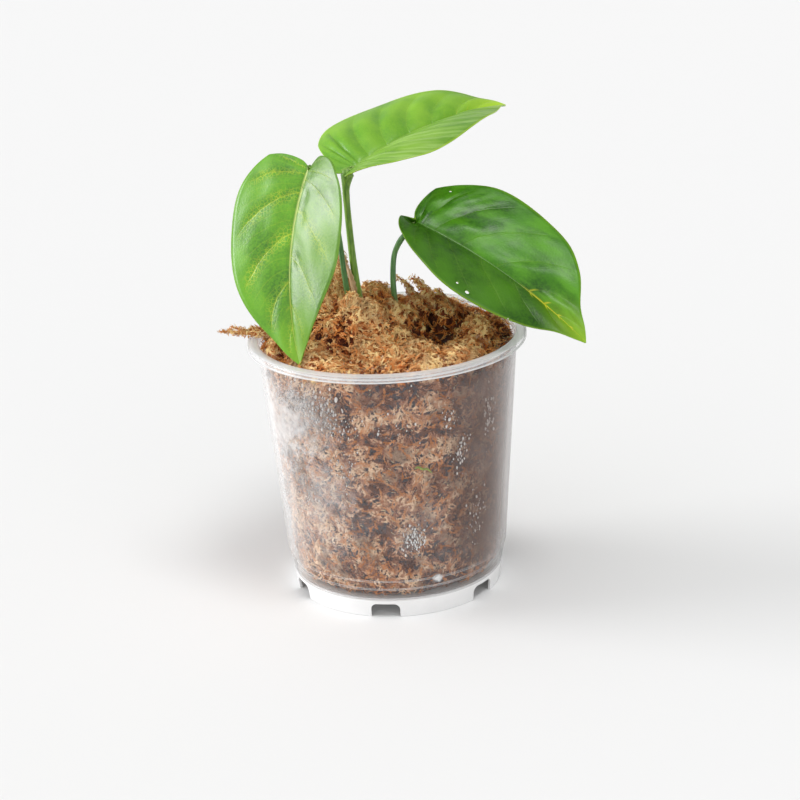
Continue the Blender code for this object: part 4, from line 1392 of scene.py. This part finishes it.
def beadMesh(around, down, window):
    # a ball of 1 mm radius, its poles above and below, that knows which side is to the window for its
    # painted highlight
    points, faces = [(0.0, 0.0, mm)], []
    for ring in range(1, down):
        drop = math.pi * ring / down
        points += [polar(mm * math.sin(drop), math.tau * k / around, mm * math.cos(drop))
                   for k in range(around)]
    points.append((0.0, 0.0, -mm))
    last = len(points) - 1
    for k in range(around):
        after = (k + 1) % around
        faces += [(0, 1 + k, 1 + after), (last, last - around + after, last - around + k)]
    faces += gridFaces(down - 1, around, True, 1)
    mesh = bpy.data.meshes.new("bead")
    mesh.from_pydata(points, [], faces)
    mesh.polygons.foreach_set("use_smooth", [True] * len(faces))
    side = Vector(window).normalized()
    store(mesh, "glint", [vert.co.normalized().dot(side) for vert in mesh.vertices])
    return bpy.data.objects.new("bead", mesh)


def makeBeads(values):
    draw = random.Random(values["seed"])
    least, most = values["radius"]
    bottom, top = values["heights"]
    spots, sizes = [], []
    for azimuth, height, spread, rise, count, scale in values["patches"]:
        for k in range(count):
            level = min(top, max(bottom, height + draw.gauss(0, rise * 0.5)))
            spots.append((azimuth + draw.gauss(0, spread * 0.5), level))
            sizes.append(scale * (least + (most - least) * draw.random() ** 2.6))
    for azimuth, height, radius in values["large"]:
        spots.append((azimuth, height))
        sizes.append(radius)
    bead = beadMesh(values["round"], values["down"], values["glintSide"])
    look = beadMaterial(values)
    points = makeMesh("beads", [onWall(*spot, values["inset"]) for spot in spots], [])
    store(points, "beadSize", sizes)
    item = runTree(makeObject("water_beads", points), beadTree(), {"Bead": bead, "Material": look})
    finishPiece(item, [look], "clear_plastic")


makeBeads(beadValues)
print("beads made")


# Floor and studio light

stageValues = {"floor": (0.84, 0.84, 0.84), "world": (1.0, 1.0, 1.0), "worldStrength": 0.42,
               "floorSize": 16.0}
lampValues = [  # name, azimuth, elevation, apparent width in degrees, radiance
    ("sideWindow", -98, 13, 34, 7.8),
    ("overhead", 38, 68, 20, 9.3),
    ("roomFill", -35, 36, 140, 0.32)]


def makeStage(values, lamps):
    half = values["floorSize"] / 2
    mesh = bpy.data.meshes.new("paleFloor")
    corners = [(x * half, y * half, 0) for x, y in ((-1, -1), (1, -1), (1, 1), (-1, 1))]
    mesh.from_pydata(corners, [], [(0, 1, 2, 3)])
    floor = makeObject("paleFloor", mesh)
    floor.data.materials.append(dress(newMaterial("paleFloor"), {
        "Base Color": (*values["floor"], 1.0), "Roughness": 0.9, "Specular IOR Level": 0.0}))
    world = bpy.data.worlds.new("softStudio")
    world.use_nodes = True
    feed(world.node_tree.nodes["Background"], {
        "Color": (*values["world"], 1.0), "Strength": values["worldStrength"]})
    scene.world = world
    for name, azimuth, elevation, width, radiance in lamps:
        data = bpy.data.lights.new(name, "SUN")
        data.angle = math.radians(width)
        data.energy = radiance * math.tau * (1 - math.cos(data.angle / 2))
        lamp = makeObject(name, data)
        rise = math.radians(elevation)
        away = Vector(polar(math.cos(rise), math.radians(azimuth - 90), math.sin(rise)))
        lamp.location = away * 2
        lamp.rotation_euler = (-away).to_track_quat("-Z", "Y").to_euler()
    scene.view_settings.view_transform = "Standard"
    scene.view_settings.look = "None"


makeStage(stageValues, lampValues)
print("stage made")

bpy.context.view_layer.update()
